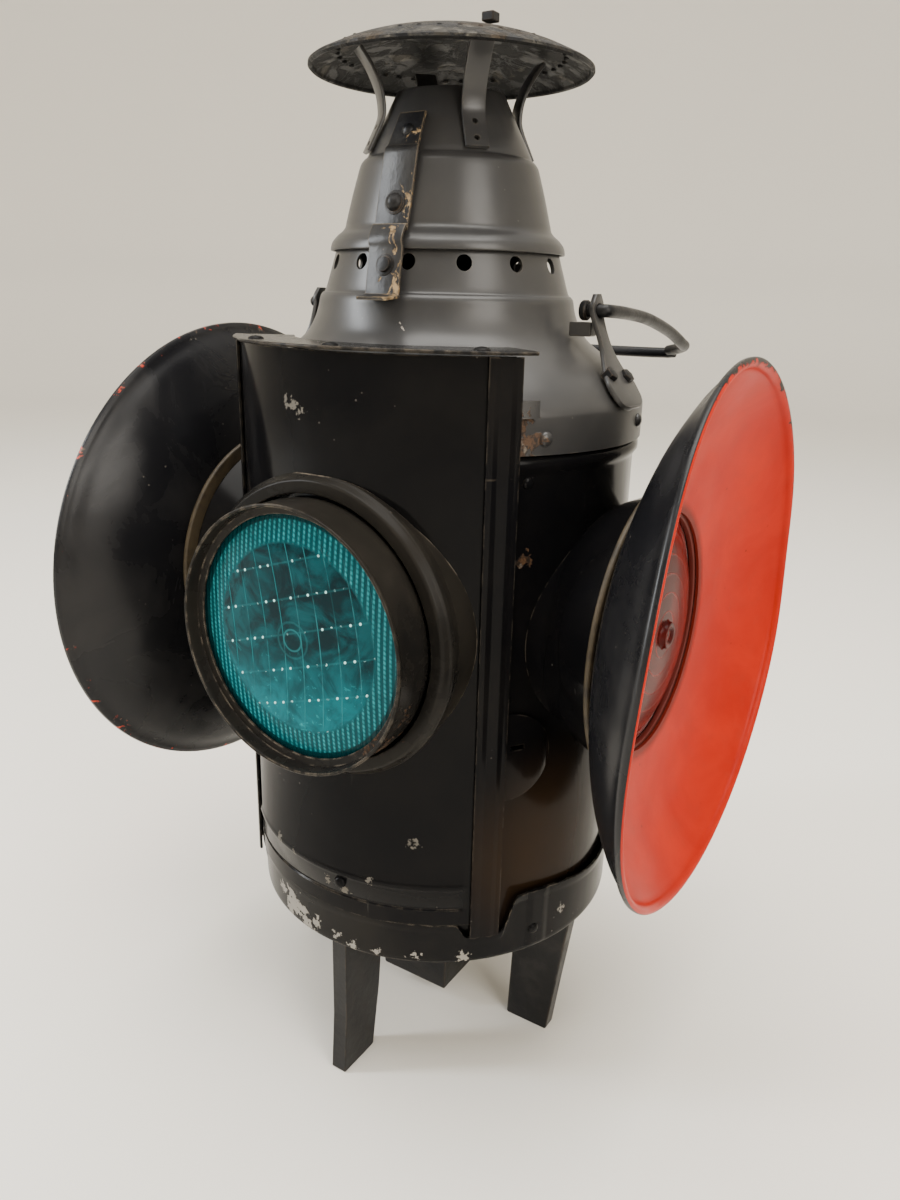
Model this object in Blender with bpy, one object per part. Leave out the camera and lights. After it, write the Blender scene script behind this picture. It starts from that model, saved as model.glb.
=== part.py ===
"""Four-lens railway switch lantern, built from its separate sheet-metal, cast and glass pieces.

Frame: metres, +Z up. The origin is where the lamp's upright axis meets the ground under its legs.
The sliding door and its green lens face -Y, and the two red day targets stand on +X and -X.
Every number below is in millimetres, and make() turns it into metres.
Azimuth is measured round the upright axis: 0 is the door (-Y), 90 is +X, 180 is the rear (+Y).
"""
import math

import bmesh
import bpy
from mathutils import Matrix, Vector

MM = 0.001
GAP = 0.4                # running or assembly clearance between neighbouring sheets
SHEET = 1.2              # thickness of the lamp's sheet steel

# Driving dimensions
BODY_R = 85.4            # outside radius of the round body
BODY_BOTTOM = 80.6
BODY_TOP = 303.2
BEAD_R = 87.3            # rolled bead round the top of the body
DRUM_R = 88.0            # straight drum of the dome, which sits on the bead
DRUM_BOTTOM = 303.8
PAN_R = 88.0
PAN_BOTTOM = 78.0
PAN_FLOOR = 80.0
LENS_Z = 231.0           # height of the two green lens centres
SIDE_Z = 226.0           # height of the two red lens centres, with their day targets
LENS_R = 52.2            # edge radius of a lens
DOORWAY_HALF = 40.0      # half width of the doorway, in degrees of azimuth
DOOR_R = 89.8            # outside radius of the sliding door
DOOR_BOTTOM = 99.3
DOOR_TOP = 340.2
DOOR_HALF = 49.2
CHANNEL_HALF = 50.8      # azimuth of each door channel's outer web
CHANNEL_R = 91.4
CHANNEL_BOTTOM = 93.0
CHANNEL_TOP = 340.0
TARGET_R = 118.3
LID_HINGE = (0.0, 54.8, 378.5)
LATCH_PIVOT = (0.0, -29.2, 425.0)
BAIL_PIVOT_Z = 355.7
BAIL_X = 76.0            # each side wire of the bail
BAIL_REACH = 115.0       # from the pivots back to the bail's cross bar
WIRE_R = 2.6
KNOB_AXIS = (0.0, -4.3, 152.0)
STRAP_AZIMUTH = 50.0     # first of the four cap straps
COLLAR_BOTTOM = 358.2    # pierced vent collar on top of the bell
COLLAR_TOP = 378.4
VENT_COUNT = 14
VENT_FIRST = 14.4        # azimuth of the first air hole
VENT_Z = 372.4
LEG_THICK = 8.0

BODY_SEGMENTS = 36
BARREL_SEGMENTS = 28


# --- Materials ------------------------------------------------------------------------------

def paint(name, colour, roughness, metallic=0.0, alpha=1.0):
    material = bpy.data.materials.new(name)
    material.use_nodes = True
    shader = material.node_tree.nodes["Principled BSDF"]
    shader.inputs["Base Color"].default_value = (*colour, 1.0)
    shader.inputs["Roughness"].default_value = roughness
    shader.inputs["Metallic"].default_value = metallic
    shader.inputs["Alpha"].default_value = alpha
    material.diffuse_color = (*colour, alpha)
    return material


# --- Mesh helpers ---------------------------------------------------------------------------

def polar(azimuth, radius, height):
    angle = math.radians(azimuth)
    return Vector((radius * math.sin(angle), -radius * math.cos(angle), height))


def make(name, sections, material, looped=False, pivot=(0, 0, 0)):
    """Skin a run of matching outlines into one closed solid, with its origin at pivot."""
    mesh = bpy.data.meshes.new(name)
    shape = bmesh.new()
    rows = [[shape.verts.new((point - Vector(pivot)) * MM) for point in outline] for outline in sections]
    count = len(rows[0])
    pairs = list(zip(rows, rows[1:]))
    if looped:
        pairs.append((rows[-1], rows[0]))
    for first, second in pairs:
        for i in range(count):
            j = (i + 1) % count
            shape.faces.new((first[i], first[j], second[j], second[i]))
    if not looped:
        shape.faces.new(rows[0])
        shape.faces.new(reversed(rows[-1]))
    bmesh.ops.remove_doubles(shape, verts=shape.verts, dist=0.00001)
    bmesh.ops.dissolve_degenerate(shape, dist=0.000005, edges=shape.edges)
    bmesh.ops.recalc_face_normals(shape, faces=shape.faces)
    shape.to_mesh(mesh)
    shape.free()
    mesh.shade_smooth()
    mesh.set_sharp_from_angle(angle=math.radians(35))
    mesh.materials.append(material)
    thing = bpy.data.objects.new(name, mesh)
    thing.location = Vector(pivot) * MM
    bpy.context.collection.objects.link(thing)
    return thing


def turned(name, profile, material, segments=BODY_SEGMENTS, pivot=(0, 0, 0)):
    """Turn a closed (radius, height) outline about the upright axis."""
    step = 360.0 / segments
    sections = [[polar(step * i, r, z) for r, z in profile] for i in range(segments)]
    return make(name, sections, material, looped=True, pivot=pivot)


def sector(name, profile, start, end, material, step=3.75):
    """Sweep a closed (radius, height) outline between two azimuths."""
    count = max(1, math.ceil((end - start) / step))
    azimuths = [start + (end - start) * i / count for i in range(count + 1)]
    return make(name, [[polar(a, r, z) for r, z in profile] for a in azimuths], material)


def barrel(name, profile, azimuth, material, segments=BARREL_SEGMENTS, height=LENS_Z):
    """Turn a closed (distance, radius) outline about a level lens axis that points along azimuth."""
    outward = polar(azimuth, 1, 0)
    across = polar(azimuth + 90, 1, 0)
    centre = Vector((0, 0, height))
    sections = []
    for i in range(segments):
        angle = 2 * math.pi * i / segments
        spoke = across * math.cos(angle) + Vector((0, 0, 1)) * math.sin(angle)
        sections.append([centre + outward * d + spoke * r for d, r in profile])
    return make(name, sections, material, looped=True)


def ribbon(name, points, half_widths, thickness, material, azimuth=90.0, pivot=(0, 0, 0), shifts=None):
    """Bend a flat strip along (radius, height) points at one azimuth; thickness grows outwards."""
    across = polar(azimuth + 90, 1, 0)
    outward = polar(azimuth, 1, 0)
    shifts = shifts or [0.0] * len(points)
    flat = [Vector((r, z)) for r, z in points]
    sections = []
    for i, point in enumerate(flat):
        before = flat[max(i - 1, 0)]
        after = flat[min(i + 1, len(flat) - 1)]
        along = (after - before).normalized()
        normal = Vector((along.y, -along.x))
        if normal.x < 0:
            normal = -normal
        outer = point + normal * thickness
        inside = outward * point.x + Vector((0, 0, point.y)) + across * shifts[i]
        outside = outward * outer.x + Vector((0, 0, outer.y)) + across * shifts[i]
        half = across * half_widths[i]
        sections.append([inside - half, inside + half, outside + half, outside - half])
    return make(name, sections, material, pivot=pivot)


def rod(name, start, end, radius, material, sides=12, pivot=(0, 0, 0)):
    """A straight round bar between two points."""
    start, end = Vector(start), Vector(end)
    along = (end - start).normalized()
    side = along.orthogonal().normalized()
    other = along.cross(side)
    sections = []
    for centre in (start, end):
        ring = []
        for i in range(sides):
            angle = 2 * math.pi * i / sides
            ring.append(centre + (side * math.cos(angle) + other * math.sin(angle)) * radius)
        sections.append(ring)
    return make(name, sections, material, pivot=pivot)


def block(name, low, high, material, pivot=(0, 0, 0)):
    """A rectangular bar between two corners."""
    rings = []
    for z in (low[2], high[2]):
        corners = ((low[0], low[1]), (high[0], low[1]), (high[0], high[1]), (low[0], high[1]))
        rings.append([Vector((x, y, z)) for x, y in corners])
    return make(name, rings, material, pivot=pivot)


def combine(body, tool, operation="DIFFERENCE"):
    """Cut a tool out of a body, or weld it on; the tool itself is left out of the model."""
    tool.hide_render = True
    tool.display_type = "WIRE"
    tool.hide_set(True)
    modifier = body.modifiers.new(tool.name, "BOOLEAN")
    modifier.operation = operation
    modifier.solver = "EXACT"
    modifier.object = tool
    return body


def upright_core(name, radius, material):
    """A round plug up the lamp's axis, used to saddle a barrel onto a curved wall."""
    profile = [(0, 20), (radius, 20), (radius, 440), (0, 440)]
    return turned(name, profile, material)


# --- Body, dome and base --------------------------------------------------------------------

def make_body_shell(m):
    inner = BODY_R - SHEET
    profile = [(BODY_R, BODY_BOTTOM), (BODY_R, 296.4), (BEAD_R, 298.4), (BEAD_R, 301.4),
               (BODY_R, BODY_TOP), (inner, BODY_TOP), (inner, BODY_BOTTOM)]
    shell = turned("body_shell", profile, m["black"])
    doorway = [(75, 101), (95, 101), (95, 294), (75, 294)]
    combine(shell, sector("cut_doorway", doorway, -DOORWAY_HALF, DOORWAY_HALF, m["black"], step=7.5))
    hole = [(60, 0), (60, 44), (95, 44), (95, 0)]
    for side, azimuth, height in (("right", 90, SIDE_Z), ("left", 270, SIDE_Z), ("rear", 180, LENS_Z)):
        combine(shell, barrel("cut_hole_" + side, hole, azimuth, m["black"], height=height))
    peep = rod("cut_peep", polar(57, 70, 177), polar(57, 100, 177), 7, m["black"])
    return combine(shell, peep)


PAN_EDGE = [(0, 98.6), (38.5, 98.6), (42, 91.5), (52, 91.5), (57, 109.0), (97.5, 103.5), (180, 103.5)]


def pan_edge(azimuth):
    """Height of the base pan's wavy top edge at an azimuth."""
    turn = abs((azimuth + 180) % 360 - 180)
    for (a0, z0), (a1, z1) in zip(PAN_EDGE, PAN_EDGE[1:]):
        if turn <= a1:
            return z0 + (z1 - z0) * (turn - a0) / (a1 - a0)
    return PAN_EDGE[-1][1]


def make_base_pan(m):
    inner = PAN_R - 1.6
    corners = {a for a, z in PAN_EDGE} | {360 - a for a, z in PAN_EDGE if a}
    azimuths = sorted(corners | {360.0 * i / BODY_SEGMENTS for i in range(BODY_SEGMENTS)})
    sections = []
    for azimuth in azimuths:
        top = pan_edge(azimuth)
        outline = [(9, PAN_BOTTOM), (PAN_R, PAN_BOTTOM), (PAN_R, top), (inner, top),
                   (inner, PAN_FLOOR), (9, PAN_FLOOR)]
        sections.append([polar(azimuth, r, z) for r, z in outline])
    return make("base_pan", sections, m["black"], looped=True)


def make_spindle_socket(m):
    """Square tapered casting that drops over a switch stand's square spindle."""
    def square(half, z):
        return [Vector((x * half, y * half, z)) for x, y in ((-1, -1), (1, -1), (1, 1), (-1, 1))]
    outer_low, outer_high = 19.4, 24.0
    bore_low, bore_high = 13.5, 11.5
    bottom, top = 10.6, PAN_BOTTOM - GAP
    sections = [square(outer_low, bottom), square(outer_high, top), square(bore_high, top),
                square(bore_low, bottom)]
    return make("spindle_socket", sections, m["iron"], looped=True)


def make_legs(m):
    """Four flat iron bars under the pan; the right one is bent inwards."""
    bend = {"front": 0.0, "right": 12.0, "rear": 0.0, "left": 0.0}
    for i, (side, lean) in enumerate(bend.items()):
        azimuth = 90.0 * i
        outward = polar(azimuth, 1, 0)
        across = polar(azimuth + 90, LEG_THICK / 2, 0)
        sections = []
        for z, inner, outer, share in ((0, 61, 84, 1.0), (32, 56, 82, 0.5), (PAN_BOTTOM - GAP, 52, 82, 0.0)):
            low = outward * (inner - lean * share) + Vector((0, 0, z))
            high = outward * (outer - lean * share) + Vector((0, 0, z))
            sections.append([low - across, high - across, high + across, low + across])
        make("leg_" + side, sections, m["iron"])


def make_channels(m):
    """Folded strips on each side of the doorway, in which the door slides."""
    foot, lip = 43.0, 42.5
    for side, sign in (("right", 1), ("left", -1)):
        def arc(radius, start, end):
            count = 3
            return [(sign * (start + (end - start) * k / count), radius) for k in range(count + 1)]
        outline = (arc(86.0, foot, CHANNEL_HALF) + arc(CHANNEL_R, CHANNEL_HALF, lip)
                   + arc(DOOR_R + GAP, lip, CHANNEL_HALF - 0.8) + arc(87.2, CHANNEL_HALF - 0.8, foot))
        sections = [[polar(a, r, z) for a, r in outline] for z in (CHANNEL_BOTTOM, CHANNEL_TOP)]
        channel = make("door_channel_" + side, sections, m["black"])
        ends = sorted((sign * (foot - 3), sign * (CHANNEL_HALF + 2)))
        relief = [(80, 296.0), (88.4, 296.0), (88.4, 350), (80, 350)]
        combine(channel, sector("cut_channel_" + side, relief, *ends, m["black"]))


def make_dome(m):
    """Drum, round shoulder and bell, spun from one sheet."""
    outer = [(DRUM_R, DRUM_BOTTOM), (DRUM_R, 317.5), (84.8, 324.2), (76.8, 332.4), (63.6, 341.0),
             (57.4, 349.4), (55.2, COLLAR_BOTTOM - GAP)]
    inner = [(r - 1.25, z - 0.15) for r, z in reversed(outer)]
    inner[0] = (outer[-1][0] - SHEET, outer[-1][1])
    inner[-1] = (DRUM_R - SHEET, DRUM_BOTTOM)
    turned("dome", outer + inner, m["dome"])


def make_vent_collar(m):
    """Cone pierced by a ring of air holes, on top of the bell."""
    hole_radius = 3.1
    outline = [(54.8, COLLAR_BOTTOM), (52.8, 361.0), (47.6, COLLAR_TOP), (47.6 - SHEET, COLLAR_TOP),
               (52.8 - SHEET, 361.0), (54.8 - SHEET, COLLAR_BOTTOM)]
    collar = turned("vent_collar", outline, m["dome"])
    for i in range(VENT_COUNT):
        azimuth = VENT_FIRST + 360.0 / VENT_COUNT * i
        ends = [polar(azimuth, r, VENT_Z) for r in (40, 58)]
        combine(collar, rod("cut_vent_%02d" % i, *ends, hole_radius, m["dome"], sides=8))


def make_ears(m):
    """Riveted ears that carry the bail, each with a short brace back to the bell."""
    points = [(89.9, 317.8), (88.2, 320.2), (83.9, 326.3), (79.5, 332.5), (75.0, 342.5), (70.6, 354.0),
              (70.4, 358.0), (70.2, 362.0)]
    halves = [6.0, 10.5, 12.0, 8.0, 3.6, 4.6, 4.8, 2.4]
    for side, azimuth in (("right", 90), ("left", 270)):
        ear = ribbon("ear_" + side, points, halves, 2.2, m["black"], azimuth=azimuth)
        hole = rod("cut_eye_" + side, polar(azimuth, 60, BAIL_PIVOT_Z), polar(azimuth, 80, BAIL_PIVOT_Z),
                   3.0, m["black"])
        combine(ear, hole)
        sign = 1 if azimuth == 90 else -1
        ends = sorted((sign * 61.0, sign * 70.8))
        block("ear_brace_" + side, (ends[0], -3, 345.6), (ends[1], 3, 351.2), m["black"])


def make_peep_cover(m):
    """Round curved plate over the peep hole, cut off straight where the door channel passes."""
    start = CHANNEL_HALF + 0.6
    sections = []
    radius, centre = 20.0, 52.4
    degree = math.radians(1.0) * BODY_R
    for k in range(9):
        azimuth = start + (centre + 0.95 * radius / degree - start) * k / 8
        offset = (azimuth - centre) * degree
        half = math.sqrt(max(radius ** 2 - offset ** 2, 1.0))
        outline = [(BODY_R + GAP, 177 - half), (BODY_R + GAP + SHEET, 177 - half),
                   (BODY_R + GAP + SHEET, 177 + half), (BODY_R + GAP, 177 + half)]
        sections.append([polar(azimuth, r, z) for r, z in outline])
    return make("peep_cover", sections, m["black"])


# --- Lens barrels ---------------------------------------------------------------------------

def make_side_barrel(side, azimuth, m):
    """Trumpet holder, red lens, clamp ring and dished day target, on a side of the body."""
    holder_line = [(56, 45.4), (80, 45.8), (89.8, 51.6), (104.7, 57.6), (104.7, 59.0), (89.8, 53.0),
                   (80, 47.2), (56, 46.8)]
    holder = barrel("lens_holder_" + side, holder_line, azimuth, m["black"], height=SIDE_Z)
    combine(holder, upright_core("cut_saddle_" + side, BODY_R + GAP, m["black"]))
    lens_line = [(96, 0), (95, 40), (93.2, LENS_R), (104.6, LENS_R), (104.8, 49.4), (110, 38),
                 (112.6, 20), (113.2, 6), (115.4, 5), (115.4, 0)]
    barrel("lens_" + side, lens_line, azimuth, m["red_glass"], height=SIDE_Z)
    ring_line = [(105.1, 50.5), (105.1, 64.8), (107.8, 64.8), (107.8, 50.5)]
    barrel("clamp_ring_" + side, ring_line, azimuth, m["brass"], height=SIDE_Z)
    target_line = [(109.4, 51.8), (110.0, 61), (116.2, 85), (126.4, 105.2), (132.8, 113.6), (135.6, 115.6),
                   (135.6, 117.6), (133.4, TARGET_R), (125.2, 106.4), (115.0, 85.6), (108.8, 61.6),
                   (108.2, 51.8)]
    barrel("target_" + side, target_line, azimuth, m["red"], segments=36, height=SIDE_Z)


def make_end_barrel(side, azimuth, wall_radius, m):
    """Collar, green lens and clamp-band hood on the door or on the rear wall, with the band's screw."""
    base = wall_radius - DOOR_R
    collar_line = [(56, 55.4), (93.3, 55.4), (93.3, 60.9), (90.6, 63.4), (88, 63.4), (80, 60.5), (56, 59.5)]
    collar = barrel("lens_collar_" + side, [(d + base, r) for d, r in collar_line], azimuth, m["black"])
    combine(collar, upright_core("cut_saddle_" + side, wall_radius + GAP, m["black"]))
    lens_line = [(96, 0), (95, 40), (92.8, LENS_R), (103.2, LENS_R), (104.0, 48.8), (106.0, 30), (107.0, 0)]
    barrel("lens_" + side, [(d + base, r) for d, r in lens_line], azimuth, m["green_glass"])
    hood_line = [(91.2, 52.8), (91.2, 54.0), (111.8, 54.6), (111.8, 53.4), (106.0, 53.0), (105.6, 49.8),
                 (104.5, 49.8), (104.3, 52.9)]
    hood = barrel("lens_hood_" + side, [(d + base, r) for d, r in hood_line], azimuth, m["black"])

    outward = polar(azimuth, 1, 0)
    across = polar(azimuth + 90, 1, 0)
    up = Vector((0, 0, 1))
    angle = math.radians(222)
    spoke = across * math.cos(angle) + up * math.sin(angle)
    tangent = -across * math.sin(angle) + up * math.cos(angle)
    screw_centre = Vector((0, 0, LENS_Z)) + outward * (98.6 + base) + spoke * 61.0
    lug_root = screw_centre - spoke * 7.6
    for end in (-1, 1):
        middle = lug_root + tangent * 5.5 * end
        sections = []
        for reach, half in ((0, 3.6), (9, 3.6), (12.6, 2.2)):
            corners = ((-1, -1), (1, -1), (1, 1), (-1, 1))
            sections.append([middle + spoke * reach + outward * half * a + tangent * 1.2 * b
                             for a, b in corners])
        lug = make("weld_lug_%s_%d" % (side, end + 1), sections, m["black"])
        combine(hood, lug, "UNION")
    hole = rod("cut_screw_hole_" + side, screw_centre - tangent * 16, screw_centre + tangent * 16, 2.3,
               m["black"], sides=10)
    combine(hood, hole)
    screw = rod("clamp_screw_" + side, screw_centre - tangent * 12.5, screw_centre + tangent * 9.8, 1.8,
                m["iron"], sides=10)
    head = rod("weld_head_" + side, screw_centre + tangent * 7.4, screw_centre + tangent * 11.0, 4.0,
               m["iron"], sides=10)
    combine(screw, head, "UNION")
    corners = ((-1, -1), (1, -1), (1, 1), (-1, 1))
    nut_faces = []
    for reach in (-10.8, -7.2):
        centre = screw_centre + tangent * reach
        nut_faces.append([centre + outward * 3.6 * a + spoke * 3.6 * b for a, b in corners])
    nut = make("clamp_nut_" + side, nut_faces, m["iron"])
    combine(nut, hole)


# --- Sliding door ---------------------------------------------------------------------------

def make_door(m):
    inner = DOOR_R - 1.3
    panel_line = [(inner, DOOR_BOTTOM), (DOOR_R, DOOR_BOTTOM), (DOOR_R, DOOR_TOP), (inner, DOOR_TOP)]
    panel = sector("door_panel", panel_line, -DOOR_HALF, DOOR_HALF, m["black"])
    combine(panel, barrel("cut_hole_door", [(60, 0), (60, 48), (99, 48), (99, 0)], 0, m["black"]))
    flange_line = [(66.6, 340.6), (93.0, 340.6), (93.0, 342.2), (66.6, 342.2)]
    sector("door_flange", flange_line, -54, 54, m["black"], step=7.5)
    make_end_barrel("front", 0, DOOR_R, m)


# --- Chimney lid, cap and latch -------------------------------------------------------------

def make_chimney(m):
    outer = [(50.4, 377.2), (50.0, 380.0), (46.6, 384.4), (44.0, 386.2), (37.4, 411.4), (34.8, 413.4),
             (22.4, 438.2)]
    inner = [(21.2, 438.2), (33.5, 412.6), (36.1, 410.6), (42.7, 385.3), (45.5, 383.2), (48.7, 379.6),
             (49.1, 377.2)]
    turned("chimney", outer + inner, m["dome"], pivot=LID_HINGE)


def make_cap(m):
    profile = [(0, 461.2), (20, 460.2), (40, 456.4), (54, 450.8), (58.4, 447.2), (57.6, 446.0),
               (56.4, 447.2), (53.2, 449.4), (39.6, 455.0), (20, 458.8), (0, 459.8)]
    turned("cap", profile, m["cap"], pivot=LID_HINGE)
    low, high = Vector((24.0, -10.5, 460.0)), Vector((24.0, -10.5, 463.4))
    corners = ((-1, -1), (1, -1), (1, 1), (-1, 1))
    rings = [[point + Vector((2.7 * a, 2.7 * b, 0)) for a, b in corners] for point in (low, high)]
    make("cap_bolt", rings, m["iron"], pivot=LID_HINGE)


def make_cap_straps(m):
    points = [(34.9, 414.6), (29.4, 426.0), (28.5, 431.5), (29.8, 438.5), (33.6, 446.4), (38.6, 453.4)]
    halves = [4.8] * len(points)
    for i in range(4):
        azimuth = STRAP_AZIMUTH + 90 * i
        ribbon("cap_strap_%d" % (i + 1), points, halves, 1.6, m["black"], azimuth=azimuth, pivot=LID_HINGE)


def knuckle(name, start, end, m):
    axis = Vector(LID_HINGE)
    return rod(name, axis + Vector((start, 0, 0)), axis + Vector((end, 0, 0)), 2.9, m["black"])


def make_lid_hinge(m):
    """Rear hinge: a base leaf on the vent collar, a leaf on the lid, and the pin."""
    axis = Vector(LID_HINGE)
    bore = rod("cut_hinge_bore", axis - Vector((20, 0, 0)), axis + Vector((20, 0, 0)), 1.5, m["black"])
    base = ribbon("hinge_base", [(54.2, 362.5), (50.6, 374.4), (53.4, 376.8)], [13, 13, 13], 1.6,
                  m["black"], azimuth=180)
    for side, start, end in (("a", -13, -6.4), ("b", 6.4, 13)):
        combine(base, knuckle("weld_base_" + side, start, end, m), "UNION")
    notch = block("cut_base_notch", (-6.4, 50.0, 374.6), (6.4, 60.0, 383.0), m["black"])
    combine(base, notch)
    combine(base, bore)
    leaf = ribbon("hinge_leaf", [(41.2, 399.0), (44.9, 386.6), (47.6, 385.0), (53.2, 379.6)],
                  [9, 9, 6, 5.9], 1.6, m["black"], azimuth=180, pivot=LID_HINGE)
    combine(leaf, knuckle("weld_leaf", -6, 6, m), "UNION")
    combine(leaf, bore)
    rod("hinge_pin", axis - Vector((13.4, 0, 0)), axis + Vector((13.4, 0, 0)), 1.3, m["iron"])


def make_latch(m):
    """Spring strap down the front of the lid; its foot snaps under the vent collar's bead."""
    points = [(28.7, 427.4), (36.2, 414.8), (38.5, 411.8), (45.1, 386.8), (47.8, 385.2), (51.2, 380.2),
              (51.4, 376.6), (53.9, 366.0), (55.7, 360.6), (57.6, 358.8), (64.6, 358.0)]
    halves = [7.4] * 2 + [8.0] * 7 + [8.2, 7.4]
    shifts = [1.4 + 6.0 * i / (len(points) - 1) for i in range(len(points))]
    ribbon("latch_strap", points, halves, 1.2, m["worn"], azimuth=0, pivot=LATCH_PIVOT, shifts=shifts)


# --- Bail -----------------------------------------------------------------------------------

def bail_route():
    """Centre line of the bail wire from the right ear round the back to the left ear."""
    corner = 22.0
    droop = [(0.0, 0.0), (22.0, 1.2), (46.0, 3.8), (74.0, 9.6), (93.0, 15.6)]
    side = [Vector((BAIL_X, y, BAIL_PIVOT_Z - fall)) for y, fall in droop]
    bend = []
    for k in range(1, 5):
        angle = math.pi / 2 * k / 4
        x = BAIL_X - corner + corner * math.cos(angle)
        y = BAIL_REACH - corner + corner * math.sin(angle)
        bend.append(Vector((x, y, BAIL_PIVOT_Z - 15.6 - 6.2 * k / 4)))
    right = side + bend
    left = [Vector((-p.x, p.y, p.z)) for p in reversed(right)]
    ends = [Vector((66.0, 0, BAIL_PIVOT_Z)), Vector((BAIL_X - 2.4, 0, BAIL_PIVOT_Z))]
    return ends + right[1:] + left[:-1] + [Vector((-p.x, p.y, p.z)) for p in reversed(ends)]


def make_bail(m):
    pivot = (0.0, 0.0, BAIL_PIVOT_Z)
    route = bail_route()
    corner = Vector((BAIL_X, 3.0, BAIL_PIVOT_Z - 0.1))
    mirror = Vector((-corner.x, corner.y, corner.z))
    route = route[:2] + [corner] + route[2:-2] + [mirror] + route[-2:]
    sides = 8
    sections = []
    previous = Vector((0, 0, 1))
    for i, point in enumerate(route):
        before, after = route[max(i - 1, 0)], route[min(i + 1, len(route) - 1)]
        along = (after - before).normalized()
        side = (previous - along * previous.dot(along)).normalized()
        other = along.cross(side)
        previous = side
        sections.append([point + (side * math.cos(2 * math.pi * k / sides)
                                  + other * math.sin(2 * math.pi * k / sides)) * WIRE_R
                         for k in range(sides)])
    bail = make("bail", sections, m["black"], pivot=pivot)
    for side, sign in (("right", 1), ("left", -1)):
        head = rod("weld_bail_" + side, (sign * 65.2, 0, BAIL_PIVOT_Z), (sign * 68.2, 0, BAIL_PIVOT_Z), 4.0,
                   m["black"], pivot=pivot)
        combine(bail, head, "UNION")


# --- Oil fount and burner -------------------------------------------------------------------

def make_fount(m):
    turned("fount_seat", [(42.0, 80.5), (43.6, 80.5), (43.6, 90), (42.0, 90)], m["black"], segments=24)
    outline = [(0, 80.5), (41, 80.5), (41, 133), (38, 137), (12, 137), (12, 143), (11, 143), (11, 135.9),
               (37.4, 135.9), (39.9, 132.6), (39.9, 81.6), (0, 81.6)]
    turned("oil_fount", outline, m["tin"], segments=24)
    rod("filler_cap", (-25, 0, 137.4), (-25, 0, 142.6), 7.0, m["brass"])
    burner_line = [(13, 143.4), (13, 160), (9, 164), (8.2, 196), (6.6, 196), (7.0, 165), (10.8, 159.4),
                   (10.8, 143.4)]
    burner = turned("burner", burner_line, m["brass"], segments=16)
    axis = Vector(KNOB_AXIS)
    combine(burner, rod("cut_knob_hole", axis + Vector((5, 0, 0)), axis + Vector((20, 0, 0)), 1.6, m["brass"]))
    block("wick", (-6, -1, 100), (6, 1, 198.5), m["wick"], pivot=(0, 0, 198.5))
    wheel = rod("wick_knob", axis - Vector((5, 0, 0)), axis + Vector((5, 0, 0)), 3.0, m["brass"],
                sides=10, pivot=KNOB_AXIS)
    shaft = rod("weld_shaft", axis, axis + Vector((26, 0, 0)), 1.2, m["brass"], sides=10, pivot=KNOB_AXIS)
    knob = rod("weld_knob", axis + Vector((24, 0, 0)), axis + Vector((27.5, 0, 0)), 7.5, m["brass"],
               sides=16, pivot=KNOB_AXIS)
    combine(wheel, shaft, "UNION")
    combine(wheel, knob, "UNION")


def main():
    for thing in list(bpy.data.objects):
        bpy.data.objects.remove(thing, do_unlink=True)
    m = {
        "black": paint("black_enamel", (0.012, 0.012, 0.014), 0.28),
        "dome": paint("dusty_black_enamel", (0.03, 0.029, 0.028), 0.38),
        "cap": paint("weathered_cap_paint", (0.11, 0.10, 0.09), 0.7),
        "iron": paint("black_iron", (0.03, 0.028, 0.027), 0.55, metallic=0.4),
        "red": paint("red_enamel", (0.62, 0.055, 0.02), 0.35),
        "red_glass": paint("red_glass", (0.30, 0.02, 0.02), 0.05, alpha=0.6),
        "green_glass": paint("green_glass", (0.0, 0.22, 0.24), 0.05, alpha=0.6),
        "brass": paint("brass", (0.36, 0.25, 0.11), 0.4, metallic=1.0),
        "worn": paint("worn_spring_steel", (0.08, 0.06, 0.04), 0.5, metallic=0.3),
        "tin": paint("tinned_steel", (0.35, 0.34, 0.32), 0.4, metallic=1.0),
        "wick": paint("cotton_wick", (0.7, 0.66, 0.55), 0.95),
    }
    make_body_shell(m)
    make_base_pan(m)
    make_spindle_socket(m)
    make_legs(m)
    make_channels(m)
    make_dome(m)
    make_vent_collar(m)
    make_ears(m)
    make_peep_cover(m)
    make_side_barrel("right", 90, m)
    make_side_barrel("left", 270, m)
    make_door(m)
    make_end_barrel("rear", 180, BODY_R, m)
    make_chimney(m)
    make_cap(m)
    make_cap_straps(m)
    make_lid_hinge(m)
    make_latch(m)
    make_bail(m)
    make_fount(m)


main()
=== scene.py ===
"""Looks for a four-lens railway switch lantern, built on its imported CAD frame.

Frame: metres, +Z up, the lamp's upright axis at the origin and its sliding door towards -Y.
Shape numbers below are in millimetres and skin() turns them into metres. Azimuth runs round the
upright axis: 0 is the door (-Y), 90 is +X, 180 is the rear (+Y).
"""
import math

import bmesh
import bpy
from mathutils import Matrix, Vector


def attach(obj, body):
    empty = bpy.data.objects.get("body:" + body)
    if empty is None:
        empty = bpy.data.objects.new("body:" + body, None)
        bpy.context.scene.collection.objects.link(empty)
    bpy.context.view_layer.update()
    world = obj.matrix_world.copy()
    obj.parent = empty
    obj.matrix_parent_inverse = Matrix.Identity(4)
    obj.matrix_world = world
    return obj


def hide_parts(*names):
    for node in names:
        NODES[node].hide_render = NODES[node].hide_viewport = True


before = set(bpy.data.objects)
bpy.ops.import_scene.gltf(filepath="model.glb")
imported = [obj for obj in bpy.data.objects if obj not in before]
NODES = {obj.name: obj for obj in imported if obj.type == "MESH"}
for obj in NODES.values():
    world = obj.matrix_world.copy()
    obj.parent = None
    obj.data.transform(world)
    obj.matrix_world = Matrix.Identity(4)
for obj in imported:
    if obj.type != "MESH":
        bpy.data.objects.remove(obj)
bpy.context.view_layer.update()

MM = 0.001
SHEET = 1.2

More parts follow.
